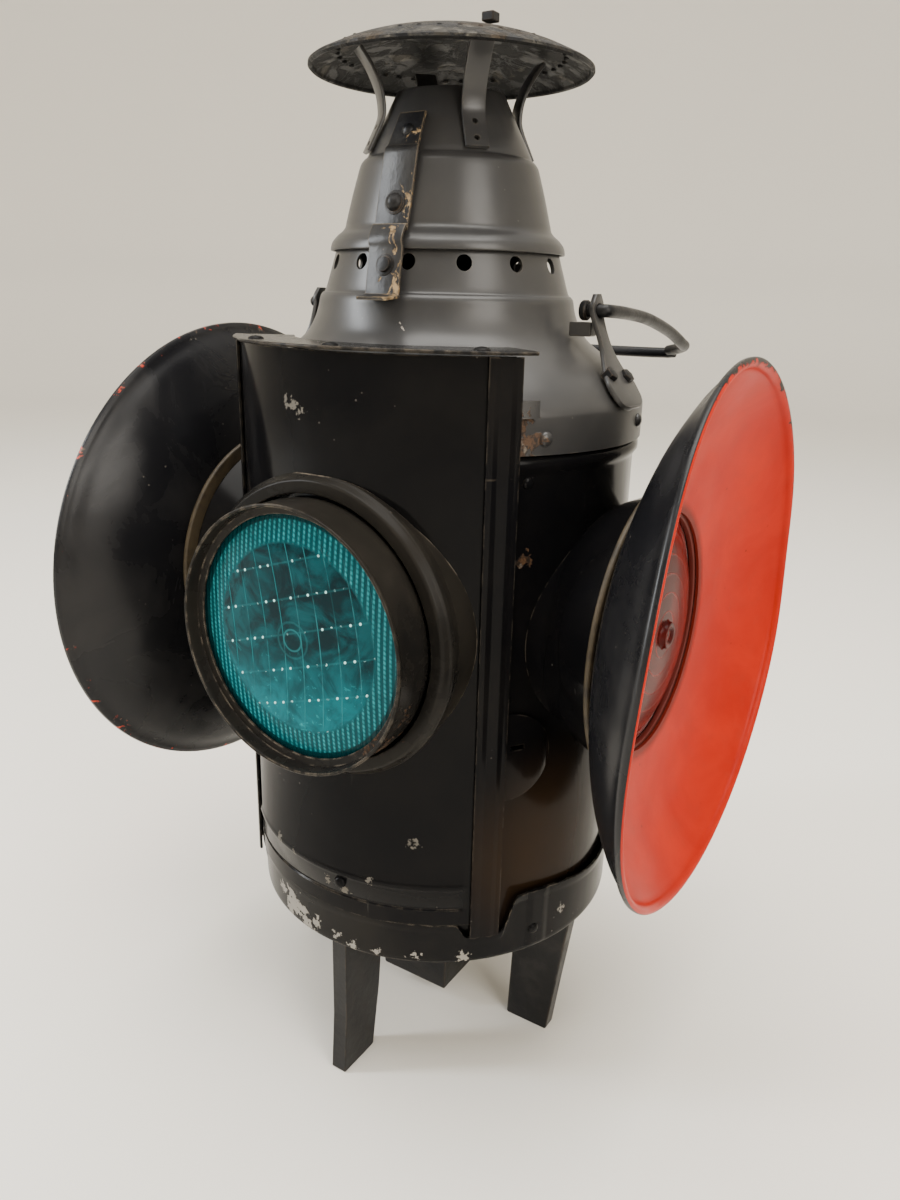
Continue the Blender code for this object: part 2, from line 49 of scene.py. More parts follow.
# Driving dimensions, the same as the CAD's; SHEET is the thickness of the spun sheet
BODY_R = 85.4
BODY_BOTTOM = 80.6
BODY_TOP = 303.2
BEAD_R = 87.3
DRUM_R = 88.0
DRUM_BOTTOM = 303.8
PAN_R = 88.0
PAN_BOTTOM = 78.0
LENS_Z = 231.0
SIDE_Z = 226.0
LENS_R = 52.2
DOOR_R = 89.8
DOOR_BOTTOM = 99.3
DOOR_TOP = 340.2
DOOR_HALF = 49.2
CHANNEL_HALF = 50.8
CHANNEL_R = 91.4
CHANNEL_BOTTOM = 93.0
CHANNEL_TOP = 340.0
TARGET_R = 118.3
BAIL_PIVOT_Z = 355.7
BAIL_X = 76.0
BAIL_REACH = 115.0
WIRE_R = 2.6
STRAP_AZIMUTH = 50.0
VENT_COUNT = 14
VENT_FIRST = 14.4
VENT_Z = 372.4
VENT_R = 3.1
PEEP_Z = 177.0

# Pattern pressed into the green lenses
COLUMN_PITCH = 9.2
ROW_PITCH = 14.6
FLUTES_FROM = 39.0


# --- Mesh helpers ---------------------------------------------------------------------------

def polar(azimuth, radius, height):
    angle = math.radians(azimuth)
    return Vector((radius * math.sin(angle), -radius * math.cos(angle), height))


def curve_through(points, per_span=6):
    """Points of a smooth curve through the given 2-D or 3-D points."""
    knots = [Vector(p) for p in points]
    knots = [knots[0] * 2 - knots[1]] + knots + [knots[-1] * 2 - knots[-2]]
    result = []
    for a, b, c, d in zip(knots, knots[1:], knots[2:], knots[3:]):
        for k in range(per_span):
            t = k / per_span
            result.append(0.5 * (2 * b + (c - a) * t + (2 * a - 5 * b + 4 * c - d) * t ** 2
                                 + (3 * b - a - 3 * c + d) * t ** 3))
    result.append(knots[-2])
    return result


def rounded(points, radius, steps=3, closed=True):
    """Round the corners of an outline of 2-D points."""
    flat = [Vector(p) for p in points]
    count = len(flat)
    result = []
    for i, corner in enumerate(flat):
        if not closed and i in (0, count - 1):
            result.append(corner)
            continue
        before, after = flat[i - 1] - corner, flat[(i + 1) % count] - corner
        reach = min(radius, before.length * 0.45, after.length * 0.45)
        start, end = corner + before.normalized() * reach, corner + after.normalized() * reach
        for k in range(steps + 1):
            t = k / steps
            result.append(start * (1 - t) ** 2 + corner * 2 * t * (1 - t) + end * t ** 2)
    return result


def finish_mesh(name, shape, materials, angle=38):
    """Turn a bmesh built in millimetres into an object in metres."""
    bmesh.ops.remove_doubles(shape, verts=shape.verts, dist=0.004)
    bmesh.ops.recalc_face_normals(shape, faces=shape.faces)
    bmesh.ops.scale(shape, vec=(MM, MM, MM), verts=shape.verts)
    mesh = bpy.data.meshes.new(name)
    shape.to_mesh(mesh)
    shape.free()
    mesh.shade_smooth()
    mesh.set_sharp_from_angle(angle=math.radians(angle))
    for material in materials if isinstance(materials, (list, tuple)) else [materials]:
        mesh.materials.append(material)
    thing = bpy.data.objects.new(name, mesh)
    bpy.context.scene.collection.objects.link(thing)
    return thing


def skin(name, rows, materials, looped=False, zones=None, angle=38):
    """Skin a run of matching closed outlines; zones gives a material index for each outline edge."""
    shape = bmesh.new()
    grid = [[shape.verts.new(point) for point in row] for row in rows]
    pairs = list(zip(grid, grid[1:]))
    if looped:
        pairs.append((grid[-1], grid[0]))
    count = len(grid[0])
    for first, second in pairs:
        for i in range(count):
            j = (i + 1) % count
            face = shape.faces.new((first[i], first[j], second[j], second[i]))
            face.material_index = zones[i] if zones else 0
    if not looped:
        shape.faces.new(grid[0])
        shape.faces.new(list(reversed(grid[-1])))
    return finish_mesh(name, shape, materials, angle)


def turned(name, outline, materials, segments=144, zones=None):
    """Turn a closed (radius, height) outline about the upright axis."""
    rows = [[polar(360.0 * i / segments, r, z) for r, z in outline] for i in range(segments)]
    return skin(name, rows, materials, looped=True, zones=zones)


def sector(name, outline, start, end, materials, step=1.0):
    """Sweep a closed (radius, height) outline between two azimuths."""
    count = max(1, math.ceil((end - start) / step))
    rows = [[polar(start + (end - start) * i / count, r, z) for r, z in outline] for i in range(count + 1)]
    return skin(name, rows, materials)


def barrel(name, outline, azimuth, materials, segments=144, zones=None, height=LENS_Z, bend=None):
    """Turn a closed (distance, radius) outline about a level lens axis; bend reshapes its points."""
    outward, across = polar(azimuth, 1, 0), polar(azimuth + 90, 1, 0)
    centre = Vector((0, 0, height))
    rows = []
    for i in range(segments):
        angle = 2 * math.pi * i / segments
        spoke = across * math.cos(angle) + Vector((0, 0, 1)) * math.sin(angle)
        section = [bend(angle, d, r) for d, r in outline] if bend else outline
        rows.append([centre + outward * d + spoke * r for d, r in section])
    return skin(name, rows, materials, looped=True, zones=zones)


def ribbon(name, points, halves, thickness, materials, azimuth, shifts=None, edge=0.35):
    """Bend a flat strip with softened edges along (radius, height) points at one azimuth."""
    across, outward = polar(azimuth + 90, 1, 0), polar(azimuth, 1, 0)
    shifts = shifts or [0.0] * len(points)
    flat = [Vector(p) for p in points]
    rows = []
    for i, point in enumerate(flat):
        along = (flat[min(i + 1, len(flat) - 1)] - flat[max(i - 1, 0)]).normalized()
        normal = Vector((along.y, -along.x))
        if normal.x < 0:
            normal = -normal
        half = halves[i]
        section = rounded([(-half, 0), (half, 0), (half, thickness), (-half, thickness)], edge, steps=2)
        rows.append([outward * (point.x + normal.x * h) + Vector((0, 0, point.y + normal.y * h))
                     + across * (w + shifts[i]) for w, h in section])
    return skin(name, rows, materials)


def tube(name, route, radius, materials, sides=16):
    """A round wire along a smooth run of points."""
    rows = []
    previous = Vector((0, 0, 1))
    for i, point in enumerate(route):
        along = (route[min(i + 1, len(route) - 1)] - route[max(i - 1, 0)]).normalized()
        side = (previous - along * previous.dot(along)).normalized()
        other = along.cross(side)
        previous = side
        rows.append([point + (side * math.cos(2 * math.pi * k / sides)
                              + other * math.sin(2 * math.pi * k / sides)) * radius for k in range(sides)])
    return skin(name, rows, materials)


def button(shape, centre, normal, outline, sides=24, turn=0.0):
    """Add a turned head to a bmesh: outline is (radius, height) from rim to middle."""
    normal = Vector(normal).normalized()
    side = normal.orthogonal().normalized()
    side.rotate(Matrix.Rotation(turn, 3, normal))
    other = normal.cross(side)
    rings = []
    for radius, height in outline:
        rings.append([shape.verts.new(Vector(centre) + normal * height
                                      + (side * math.cos(2 * math.pi * k / sides)
                                         + other * math.sin(2 * math.pi * k / sides)) * radius)
                      for k in range(sides)])
    for first, second in zip(rings, rings[1:]):
        for k in range(sides):
            j = (k + 1) % sides
            shape.faces.new((first[k], first[j], second[j], second[k]))
    shape.faces.new(list(reversed(rings[0])))
    shape.faces.new(rings[-1])


def dome_head(radius, height):
    """Outline of a domed rivet head, sunk a little into its sheet."""
    return [(radius, -0.6)] + [(radius * math.cos(a), height * math.sin(a))
                               for a in (0.0, 0.35, 0.7, 1.05, 1.4)]


def upright(azimuth, radius, z, size, rise):
    """A rivet on an upright wall: its centre, normal, radius and height."""
    return polar(azimuth, radius, z), polar(azimuth, 1, 0), size, rise


def rivets(name, spots, materials, body):
    """One piece of domed heads; each spot is (centre, normal, radius, height)."""
    shape = bmesh.new()
    for centre, normal, radius, height in spots:
        button(shape, centre, normal, dome_head(radius, height))
    piece = finish_mesh(name, shape, materials)
    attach(piece, body)
    return piece


def cylinder(name, start, end, radius, sides=24):
    """A plain round cutter."""
    start, end = Vector(start), Vector(end)
    shape = bmesh.new()
    length = (end - start).length
    button(shape, start, end - start, [(radius, 0), (radius, length)], sides)
    return finish_mesh(name, shape, [])


def core_cutter(name, radius):
    """A cutter that fills the lamp out to this radius at the height of the lenses."""
    return turned(name, [(0.01, 150), (radius, 150), (radius, 310), (0.01, 310)], [])


def carve(piece, *cutters):
    """Cut the cutters out of a piece and remove them."""
    for cutter in cutters:
        modifier = piece.modifiers.new(cutter.name, "BOOLEAN")
        modifier.operation = "DIFFERENCE"
        modifier.solver = "EXACT"
        modifier.object = cutter
    graph = bpy.context.evaluated_depsgraph_get()
    mesh = bpy.data.meshes.new_from_object(piece.evaluated_get(graph))
    piece.modifiers.clear()
    piece.data = mesh
    mesh.shade_smooth()
    mesh.set_sharp_from_angle(angle=math.radians(38))
    for cutter in cutters:
        bpy.data.objects.remove(cutter)
    return piece


def stand_for(piece, body, *nodes):
    """Let a detailed piece stand for CAD nodes and move with their body."""
    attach(piece, body)
    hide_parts(*nodes)
    return piece


def soften(node, material, width=0.5):
    """Keep a CAD node, with rounded edges and a better material."""
    thing = NODES[node]
    weld = thing.modifiers.new("weld", "WELD")
    weld.merge_threshold = 0.00002
    bevel = thing.modifiers.new("bevel", "BEVEL")
    bevel.width = width * MM
    bevel.segments = 2
    bevel.limit_method = "ANGLE"
    bevel.angle_limit = math.radians(35)
    dress(node, material)


def dress(node, material):
    """Give a CAD node a better material."""
    mesh = NODES[node].data
    mesh.materials.clear()
    mesh.materials.append(material)


# --- Material helpers -----------------------------------------------------------------------

class Paint:
    """A Principled material and short calls for the nodes that feed it. Sizes are in millimetres."""

    def __init__(self, name, roughness=0.4, metallic=0.0, **constants):
        self.material = bpy.data.materials.new(name)
        self.material.use_nodes = True
        self.tree = self.material.node_tree
        self.shader = self.tree.nodes["Principled BSDF"]
        self.shader.inputs["Roughness"].default_value = roughness
        self.shader.inputs["Metallic"].default_value = metallic
        for socket, value in constants.items():
            self.shader.inputs[socket.replace("_", " ")].default_value = value
        self.place = self.node("ShaderNodeTexCoord").outputs["Object"]

    def node(self, kind, **settings):
        made = self.tree.nodes.new(kind)
        for key, value in settings.items():
            setattr(made, key, value)
        return made

    def feed(self, socket, value):
        if isinstance(value, bpy.types.NodeSocket):
            self.tree.links.new(value, socket)
        elif hasattr(value, "__len__") and len(value) == 3 and socket.type == "RGBA":
            socket.default_value = (*value, 1.0)
        else:
            socket.default_value = value

    def set(self, name, value):
        self.feed(self.shader.inputs[name], value)

    def mapped(self, stretch, shift=(0, 0, 0)):
        mapping = self.node("ShaderNodeMapping")
        self.feed(mapping.inputs["Vector"], self.place)
        mapping.inputs["Scale"].default_value = stretch
        mapping.inputs["Location"].default_value = shift
        return mapping.outputs["Vector"]

    def noise(self, size, detail=4.0, rough=0.55, twist=0.0, stretch=None, shift=(0, 0, 0)):
        made = self.node("ShaderNodeTexNoise")
        source = self.mapped(stretch or (1, 1, 1), shift) if stretch or any(shift) else self.place
        self.feed(made.inputs["Vector"], source)
        made.inputs["Scale"].default_value = 1000.0 / size
        made.inputs["Detail"].default_value = detail
        made.inputs["Roughness"].default_value = rough
        made.inputs["Distortion"].default_value = twist
        return made.outputs["Fac"]

    def cells(self, size):
        made = self.node("ShaderNodeTexVoronoi")
        self.feed(made.inputs["Vector"], self.place)
        made.inputs["Scale"].default_value = 1000.0 / size
        return made.outputs["Distance"]

    def calc(self, operation, a, b=0.0, c=0.0):
        made = self.node("ShaderNodeMath", operation=operation)
        self.feed(made.inputs[0], a)
        self.feed(made.inputs[1], b)
        self.feed(made.inputs[2], c)
        return made.outputs["Value"]

    def times(self, a, b):
        return self.calc("MULTIPLY", a, b)

    def gap(self, a, b):
        return self.calc("ABSOLUTE", self.calc("SUBTRACT", a, b))

    def wave(self, value, pitch):
        return self.calc("SINE", self.times(value, 2 * math.pi / pitch))

    def stripe(self, value, pitch, shift=0.0):
        """Distance from the nearest of a run of evenly spaced lines, as a share of their pitch."""
        return self.gap(self.calc("FRACT", self.calc("MULTIPLY_ADD", value, 1.0 / pitch, shift)), 0.5)

    def step(self, value, low, high, bottom=0.0, top=1.0):
        made = self.node("ShaderNodeMapRange", interpolation_type="SMOOTHSTEP")
        self.feed(made.inputs["Value"], value)
        made.inputs["From Min"].default_value = low
        made.inputs["From Max"].default_value = high
        made.inputs["To Min"].default_value = bottom
        made.inputs["To Max"].default_value = top
        return made.outputs["Result"]

    def mix(self, share, a, b):
        made = self.node("ShaderNodeMix", data_type="RGBA")
        self.feed(made.inputs["Factor"], share)
        self.feed(made.inputs[6], a)
        self.feed(made.inputs[7], b)
        return made.outputs[2]

    def either(self, *masks):
        result = masks[0]
        for mask in masks[1:]:
            result = self.calc("MAXIMUM", result, mask)
        return result

    def axes(self):
        split = self.node("ShaderNodeSeparateXYZ")
        self.feed(split.inputs["Vector"], self.place)
        return split.outputs["X"], split.outputs["Y"], split.outputs["Z"]

    def edges(self, width=0.9):
        """1 along the sharp edges of a piece, fading to 0 at about this width in millimetres."""
        rounded_off = self.node("ShaderNodeBevel", samples=4)
        rounded_off.inputs["Radius"].default_value = width * MM
        flat = self.node("ShaderNodeNewGeometry")
        match = self.node("ShaderNodeVectorMath", operation="DOT_PRODUCT")
        self.feed(match.inputs[0], rounded_off.outputs["Normal"])
        self.feed(match.inputs[1], flat.outputs["Normal"])
        return self.step(match.outputs["Value"], 0.995, 0.90)

    def away(self, centre):
        """Distance in metres from a point given in millimetres."""
        made = self.node("ShaderNodeVectorMath", operation="DISTANCE")
        self.feed(made.inputs[0], self.place)
        made.inputs[1].default_value = [v * MM for v in centre]
        return made.outputs["Value"]

    def near(self, centre, size, ragged, grain):
        """1 inside a ragged patch of about this radius round a point, in millimetres."""
        rough = self.calc("MULTIPLY_ADD", self.noise(grain, 3.0), 2 * ragged, -ragged)
        reach = self.calc("MULTIPLY_ADD", self.away(centre), 1000.0 / size, rough)
        return self.step(reach, 1.05, 0.9)

    def glow(self, centre, size):
        """1 at a point, fading softly to 0 at this distance, in millimetres."""
        return self.step(self.away(centre), size * MM, 0.15 * size * MM)

    def done(self, colour, roughness, normal):
        self.set("Base Color", colour)
        if roughness:
            self.set("Roughness", roughness)
        self.set("Normal", normal)
        return self.material

    def bump(self, height, depth, strength=1.0, under=None):
        made = self.node("ShaderNodeBump")
        self.feed(made.inputs["Height"], height)
        made.inputs["Distance"].default_value = depth * MM
        made.inputs["Strength"].default_value = strength
        if under:
            self.feed(made.inputs["Normal"], under)
        return made.outputs["Normal"]


def enamel(name, base, dust, dust_share, gloss, chips=(), chip_colour=(0.30, 0.28, 0.25), rust=(), painted_reflections=(),
           edge=0.35, shine=0.06):
    """Old black stove enamel: thin dust in soft clouds, lint, fine scratches, chips and rusty patches, with
    optional painted reflections.
    """
    p = Paint(name, Specular_IOR_Level=shine)
    clouds = p.step(p.noise(60, 3.0, 0.5, 0.3), 0.30, 0.80)
    grime = p.step(p.noise(9, 5.0, 0.6), 0.45, 0.85)
    colour = p.mix(p.times(clouds, dust_share), base, dust)
    # Painted reflections: soft patches of painted light laid into the colour.
    for centre, size, tint in painted_reflections:
        colour = p.mix(p.glow(centre, size), colour, tint)
    colour = p.mix(p.times(grime, dust_share * 0.35), colour, dust)
    lint = p.step(p.cells(6.5), 0.075, 0.045)
    lint = p.times(lint, p.step(p.noise(24, 2.0), 0.52, 0.62))
    colour = p.mix(p.times(lint, 0.4), colour, (0.16, 0.145, 0.13))
    scratch = p.step(p.noise(1.6, 2.0, 0.5, 0.0, (1.0, 1.0, 0.07)), 0.72, 0.78)
    scratch = p.times(scratch, p.step(p.noise(30, 2.0, shift=(3, 1, 2)), 0.55, 0.66))
    colour = p.mix(p.times(scratch, 0.35), colour, (0.06, 0.055, 0.05))
    worn = p.times(p.edges(), p.step(p.noise(5, 4.0), 0.42, 0.62))
    colour = p.mix(p.times(worn, edge), colour, (0.15, 0.125, 0.095))
    spots = []
    for centre, size in chips:
        spots.append(p.near(centre, size, 3.2, size * 0.9))
        colour = p.mix(spots[-1], colour, chip_colour)
    for centre, size in rust:
        spots.append(p.near(centre, size, 1.8, 4.0))
        pits = p.step(p.noise(2.4, 6.0, 0.7), 0.42, 0.6)
        flaky = p.mix(pits, (0.020, 0.015, 0.012), (0.085, 0.045, 0.024))
        primer = p.step(p.noise(3.5, 4.0, 0.7, shift=(1, 5, 2)), 0.56, 0.66)
        flaky = p.mix(primer, flaky, (0.15, 0.125, 0.10))
        colour = p.mix(spots[-1], colour, flaky)
    rough = p.calc("MULTIPLY_ADD", clouds, 0.05, gloss)
    rough = p.calc("MULTIPLY_ADD", grime, 0.05, rough)
    normal = p.bump(p.noise(34, 2.0), 0.5, 0.5)
    normal = p.bump(p.noise(1.1, 3.0, 0.6), 0.012, 0.6, normal)
    if spots:
        flakes = p.either(*spots)
        rough = p.calc("MULTIPLY_ADD", flakes, 0.4, rough)
        normal = p.bump(p.times(flakes, p.noise(2.0, 5.0, 0.7)), 0.5, 0.9, normal)
    return p.done(colour, rough, normal)


def cap_paint():
    """Flaking grey and brown paint over black, lighter on top and dark with worn patches beneath."""
    p = Paint("cap_flaking_paint", Specular_IOR_Level=0.12)
    upward = p.node("ShaderNodeNewGeometry").outputs["Normal"]
    split = p.node("ShaderNodeSeparateXYZ")
    p.feed(split.inputs["Vector"], upward)
    top = p.step(split.outputs["Z"], -0.05, 0.15)
    flakes = p.step(p.noise(9, 7.0, 0.68, 0.8), 0.44, 0.56)
    small = p.step(p.noise(3.2, 5.0, 0.7, shift=(2, 3, 4)), 0.52, 0.62)
    grey = p.mix(small, (0.038, 0.035, 0.030), (0.095, 0.088, 0.074))
    brown = p.mix(small, (0.024, 0.018, 0.013), (0.055, 0.042, 0.028))
    above = p.mix(flakes, (0.009, 0.009, 0.010), grey)
    above = p.mix(p.step(p.noise(14, 4.0, shift=(5, 1, 0)), 0.5, 0.62), above, brown)
    patches = p.step(p.noise(13, 6.0, 0.6, 0.5, shift=(0, 4, 1)), 0.58, 0.68)
    primer = p.mix(small, (0.050, 0.045, 0.036), (0.105, 0.092, 0.072))
    below = p.mix(patches, (0.007, 0.007, 0.007), primer)
    normal = p.bump(p.noise(2.2, 5.0, 0.7), 0.25, 0.6, p.bump(flakes, 0.35, 0.9))
    return p.done(p.mix(top, below, above), p.calc("MULTIPLY_ADD", flakes, 0.25, 0.42), normal)


def radius_from(p, along, height):
    """Distance in millimetres from a level lens axis that runs along X or Y at this height."""
    x, y, z = p.axes()
    side = y if along == "X" else x
    rise = p.calc("SUBTRACT", z, height * MM)
    square = p.calc("ADD", p.times(side, side), p.times(rise, rise))
    return p.times(p.calc("SQRT", square), 1000.0)


def red_enamel():
    """Red enamel of a day target, chipped to black round its rolled rim."""
    p = Paint("red_enamel_face", Specular_IOR_Level=0.08)
    radius = radius_from(p, "X", SIDE_Z)
    clouds = p.step(p.noise(46, 5.0, 0.6, 0.5), 0.35, 0.7)
    colour = p.mix(clouds, (0.34, 0.009, 0.0015), (0.42, 0.015, 0.003))
    pits = p.times(p.step(p.noise(2.2, 5.0, 0.7), 0.55, 0.75), 0.35)
    colour = p.mix(pits, colour, (0.36, 0.022, 0.010))
    grime = p.times(p.step(p.noise(12, 6.0, 0.7, shift=(2, 2, 2)), 0.5, 0.72), 0.3)
    colour = p.mix(grime, colour, (0.30, 0.03, 0.016))
    specks = p.times(p.step(p.cells(9.0), 0.09, 0.05), p.step(p.noise(20, 2.0), 0.5, 0.6))
    colour = p.mix(p.times(specks, 0.7), colour, (0.10, 0.02, 0.012))
    rim = p.step(radius, 110.0, 115.0)
    chip = p.step(p.calc("MULTIPLY_ADD", rim, 0.30, p.noise(7, 7.0, 0.72, 0.6)), 0.70, 0.74)
    colour = p.mix(chip, colour, (0.020, 0.018, 0.016))
    shadow = p.step(radius, 58.5, 53.0)
    colour = p.mix(p.times(shadow, 0.8), colour, (0.06, 0.012, 0.008))
    normal = p.bump(p.noise(34, 2.0), 0.6, 0.5)
    normal = p.bump(p.times(chip, -1.0), 0.25, 0.9, normal)
    normal = p.bump(p.noise(1.3, 3.0), 0.02, 0.6, normal)
    return p.done(colour, p.calc("MULTIPLY_ADD", p.noise(18, 4.0), 0.22, 0.22), normal)


def target_back():
    """Black back of a day target, with soft dents and red showing at the rim's chips."""
    p = Paint("target_back_enamel", Specular_IOR_Level=0.2)
    radius = radius_from(p, "X", SIDE_Z)
    clouds = p.step(p.noise(42, 5.0, 0.6, 0.5), 0.40, 0.7)
    colour = p.mix(p.times(clouds, 0.5), (0.006, 0.006, 0.007), (0.018, 0.017, 0.017))
    specks = p.times(p.step(p.cells(7.0), 0.08, 0.05), p.step(p.noise(22, 2.0), 0.5, 0.6))
    colour = p.mix(p.times(specks, 0.4), colour, (0.2, 0.18, 0.16))
    rim = p.step(radius, 110.5, 115.5)
    bare = p.step(p.calc("MULTIPLY_ADD", rim, 0.20, p.noise(8, 7.0, 0.72, 0.6)), 0.80, 0.83)
    under = p.mix(p.step(p.noise(4, 3.0), 0.5, 0.56), (0.10, 0.07, 0.05), (0.42, 0.035, 0.014))
    colour = p.mix(bare, colour, under)
    normal = p.bump(p.noise(1.2, 3.0), 0.02, 0.6, p.bump(p.noise(45, 2.0), 1.3, 0.5))
    return p.done(colour, p.calc("MULTIPLY_ADD", clouds, 0.16, 0.24), normal)


def green_glass():
    """Teal pressed glass: an outer ring of fine flutes round a beaded grid with a bull's-eye, made to glow
    and painted with light and shade.
    """
    p = Paint("teal_pressed_glass", roughness=0.2, Specular_IOR_Level=0.06, Coat_Weight=0.05,
              Coat_Roughness=0.05, Emission_Strength=0.30)
    x, _, z = p.axes()
    across = p.times(x, 1000.0)
    rise = p.calc("MULTIPLY_ADD", z, 1000.0, -LENS_Z)
    radius = radius_from(p, "Y", LENS_Z)

    flutes = p.step(p.wave(across, 2.5), -0.4, 0.9)
    dashes = p.calc("MULTIPLY_ADD", rise, 2 * math.pi / 1.9, p.times(across, 1.2))
    dashes = p.step(p.calc("SINE", dashes), -0.8, 0.4, 0.35)
    broken = p.step(p.noise(5, 4.0), 0.3, 0.65, 0.45)
    bright = p.times(p.times(flutes, dashes), broken)
    # The flutes' bright dashes are painted highlights.
    outer = p.mix(bright, (0.0, 0.040, 0.047), (0.015, 0.21, 0.23))

    bow = p.times(p.times(rise, rise), 0.0032)
    column = p.calc("ADD", across, p.calc("MULTIPLY_ADD", rise, 0.10, bow))
    bars = p.step(p.stripe(column, COLUMN_PITCH), 0.045, 0.0)
    bars = p.times(bars, p.step(p.noise(14, 3.0), 0.42, 0.6, 0.15))
    row_line = p.stripe(p.calc("MULTIPLY_ADD", across, -0.32, rise), ROW_PITCH, 0.30)
    bead_line = p.stripe(column, COLUMN_PITCH / 2)
    beads = p.calc("ADD", p.calc("POWER", p.times(row_line, ROW_PITCH), 2.0),
                   p.calc("POWER", p.times(bead_line, COLUMN_PITCH / 2), 2.0))
    beads = p.times(p.step(beads, 0.55, 0.1), p.step(p.noise(4.5, 2.0), 0.44, 0.56))
    shelf = p.times(p.step(row_line, 0.045, 0.01), 0.22)
    outer_eye = p.times(p.step(p.gap(radius, 7.4), 0.7, 0.2), 0.4)
    eye = p.either(p.step(p.gap(radius, 4.4), 0.55, 0.2), outer_eye)

    depth = p.noise(19, 5.0, 0.6, 1.2)
    # Painted light: the lower part of the lens is painted lighter, with glinting ripples, as a painted glow
    # from the floor.
    floor_glow = p.step(rise, 4.0, -34.0)
    inner = p.mix(p.step(depth, 0.40, 0.66), (0.0, 0.010, 0.013), (0.001, 0.046, 0.054))
    lit = p.times(floor_glow, p.step(depth, 0.3, 0.6, 0.35, 0.9))
    inner = p.mix(lit, inner, (0.0, 0.105, 0.125))
    floor_glints = p.times(p.step(p.noise(7, 6.0, 0.6, 2.2), 0.60, 0.68), p.times(floor_glow, 0.55))
    inner = p.mix(floor_glints, inner, (0.01, 0.26, 0.28))
    # Pattern lines and bull's-eye rings are painted lighter, as painted highlights on the relief.
    line = p.either(bars, shelf, p.times(eye, 0.55))
    inner = p.mix(p.times(line, 0.6), inner, (0.02, 0.20, 0.22))
    # The beads are painted near white: painted highlights on each bead.
    inner = p.mix(beads, inner, (0.45, 0.80, 0.78))

    ring = p.step(radius, FLUTES_FROM - 0.4, FLUTES_FROM + 0.4)
    colour = p.mix(ring, inner, outer)
    # Painted shade: the lens edge under the hood and the groove round the flutes are painted darker.
    colour = p.mix(p.step(radius, 47.4, 48.2), colour, (0.0, 0.020, 0.023))
    groove = p.step(p.gap(radius, FLUTES_FROM), 0.9, 0.3)
    colour = p.mix(p.times(groove, 0.6), colour, (0.0, 0.05, 0.058))
    # The glass glows with its own colour: painted light, as no lamp burns behind it.
    p.set("Emission Color", colour)
    relief = p.calc("ADD", p.times(ring, flutes), p.either(bars, beads))
    return p.done(colour, None, p.bump(relief, 0.35, 0.7))


def red_glass():
    """Deep red glass with a small centre boss; it glows with painted light, with painted highlights on its
    rings and outer rim.
    """
    p = Paint("deep_red_glass", roughness=0.25, Specular_IOR_Level=0.06, Coat_Weight=0.04,
              Coat_Roughness=0.08, Emission_Strength=0.10)
    radius = radius_from(p, "X", SIDE_Z)
    depth = p.noise(24, 4.0, 0.6, 0.8)
    colour = p.mix(p.step(depth, 0.35, 0.7), (0.030, 0.0035, 0.003), (0.085, 0.007, 0.005))
    # The rings and the outer rim are painted lighter: painted highlights.
    rings = p.step(p.wave(radius, 8.0), 0.86, 1.0)
    colour = p.mix(p.times(rings, 0.35), colour, (0.20, 0.02, 0.014))
    rim = p.step(radius, 38.0, 44.0)
    colour = p.mix(p.times(rim, 0.8), colour, (0.17, 0.010, 0.008))
    # The glass glows with its own colour: painted light, as no lamp burns behind it.
    p.set("Emission Color", colour)
    return p.done(colour, None, p.bump(rings, 0.2, 0.35))


def worn_latch():
    """Black paint worn through to tan primer and steel along the strap's right edge and its foot."""
    p = Paint("worn_latch_paint", Specular_IOR_Level=0.3)
    x, _, z = p.axes()
    side = p.step(x, 0.0015, 0.0105)
    foot = p.step(z, 0.384, 0.362)
    ragged = p.noise(7, 6.0, 0.68, 0.7)
    push = p.calc("MULTIPLY_ADD", side, 0.10, p.times(foot, 0.05))
    bare = p.step(p.calc("ADD", ragged, push), 0.655, 0.675)
    tan = p.mix(p.step(p.noise(2.4, 5.0), 0.42, 0.6), (0.11, 0.070, 0.032), (0.26, 0.175, 0.085))
    black = p.mix(p.step(p.noise(16, 4.0), 0.4, 0.7), (0.008, 0.008, 0.009), (0.020, 0.019, 0.018))
    colour = p.mix(bare, black, tan)
    colour = p.mix(p.times(p.edges(), 0.55), colour, (0.20, 0.155, 0.10))
    normal = p.bump(p.calc("MULTIPLY_ADD", bare, -0.5, p.noise(3, 4.0)), 0.22, 0.8)
    return p.done(colour, p.calc("MULTIPLY_ADD", bare, 0.3, 0.34), normal)


def iron():
    """Painted black iron, rubbed brown at its edges."""
    p = Paint("black_cast_iron", Specular_IOR_Level=0.2)
    clouds = p.step(p.noise(14, 6.0, 0.65, 0.4), 0.45, 0.7)
    colour = p.mix(clouds, (0.007, 0.0072, 0.008), (0.017, 0.016, 0.016))
    worn = p.times(p.edges(), p.step(p.noise(6, 5.0, 0.7), 0.40, 0.58))
    colour = p.mix(p.times(worn, 0.5), colour, (0.095, 0.068, 0.045))
    spots = p.step(p.noise(4.0, 6.0, 0.7, shift=(1, 1, 3)), 0.64, 0.70)
    colour = p.mix(p.times(spots, 0.5), colour, (0.045, 0.030, 0.021))
    normal = p.bump(p.noise(1.4, 5.0, 0.7), 0.12, 0.7, p.bump(p.noise(9, 3.0), 0.5, 0.6))
    return p.done(colour, p.calc("MULTIPLY_ADD", clouds, 0.2, 0.34), normal)


def bare_metal(name, light, dark, roughness):
    """Tarnished bare metal."""
    p = Paint(name, metallic=1.0)
    clouds = p.step(p.noise(9, 6.0, 0.65), 0.4, 0.7)
    colour = p.mix(clouds, light, dark)
    rough = p.calc("MULTIPLY_ADD", clouds, 0.2, roughness)
    return p.done(colour, rough, p.bump(p.noise(1.5, 4.0), 0.05, 0.6))


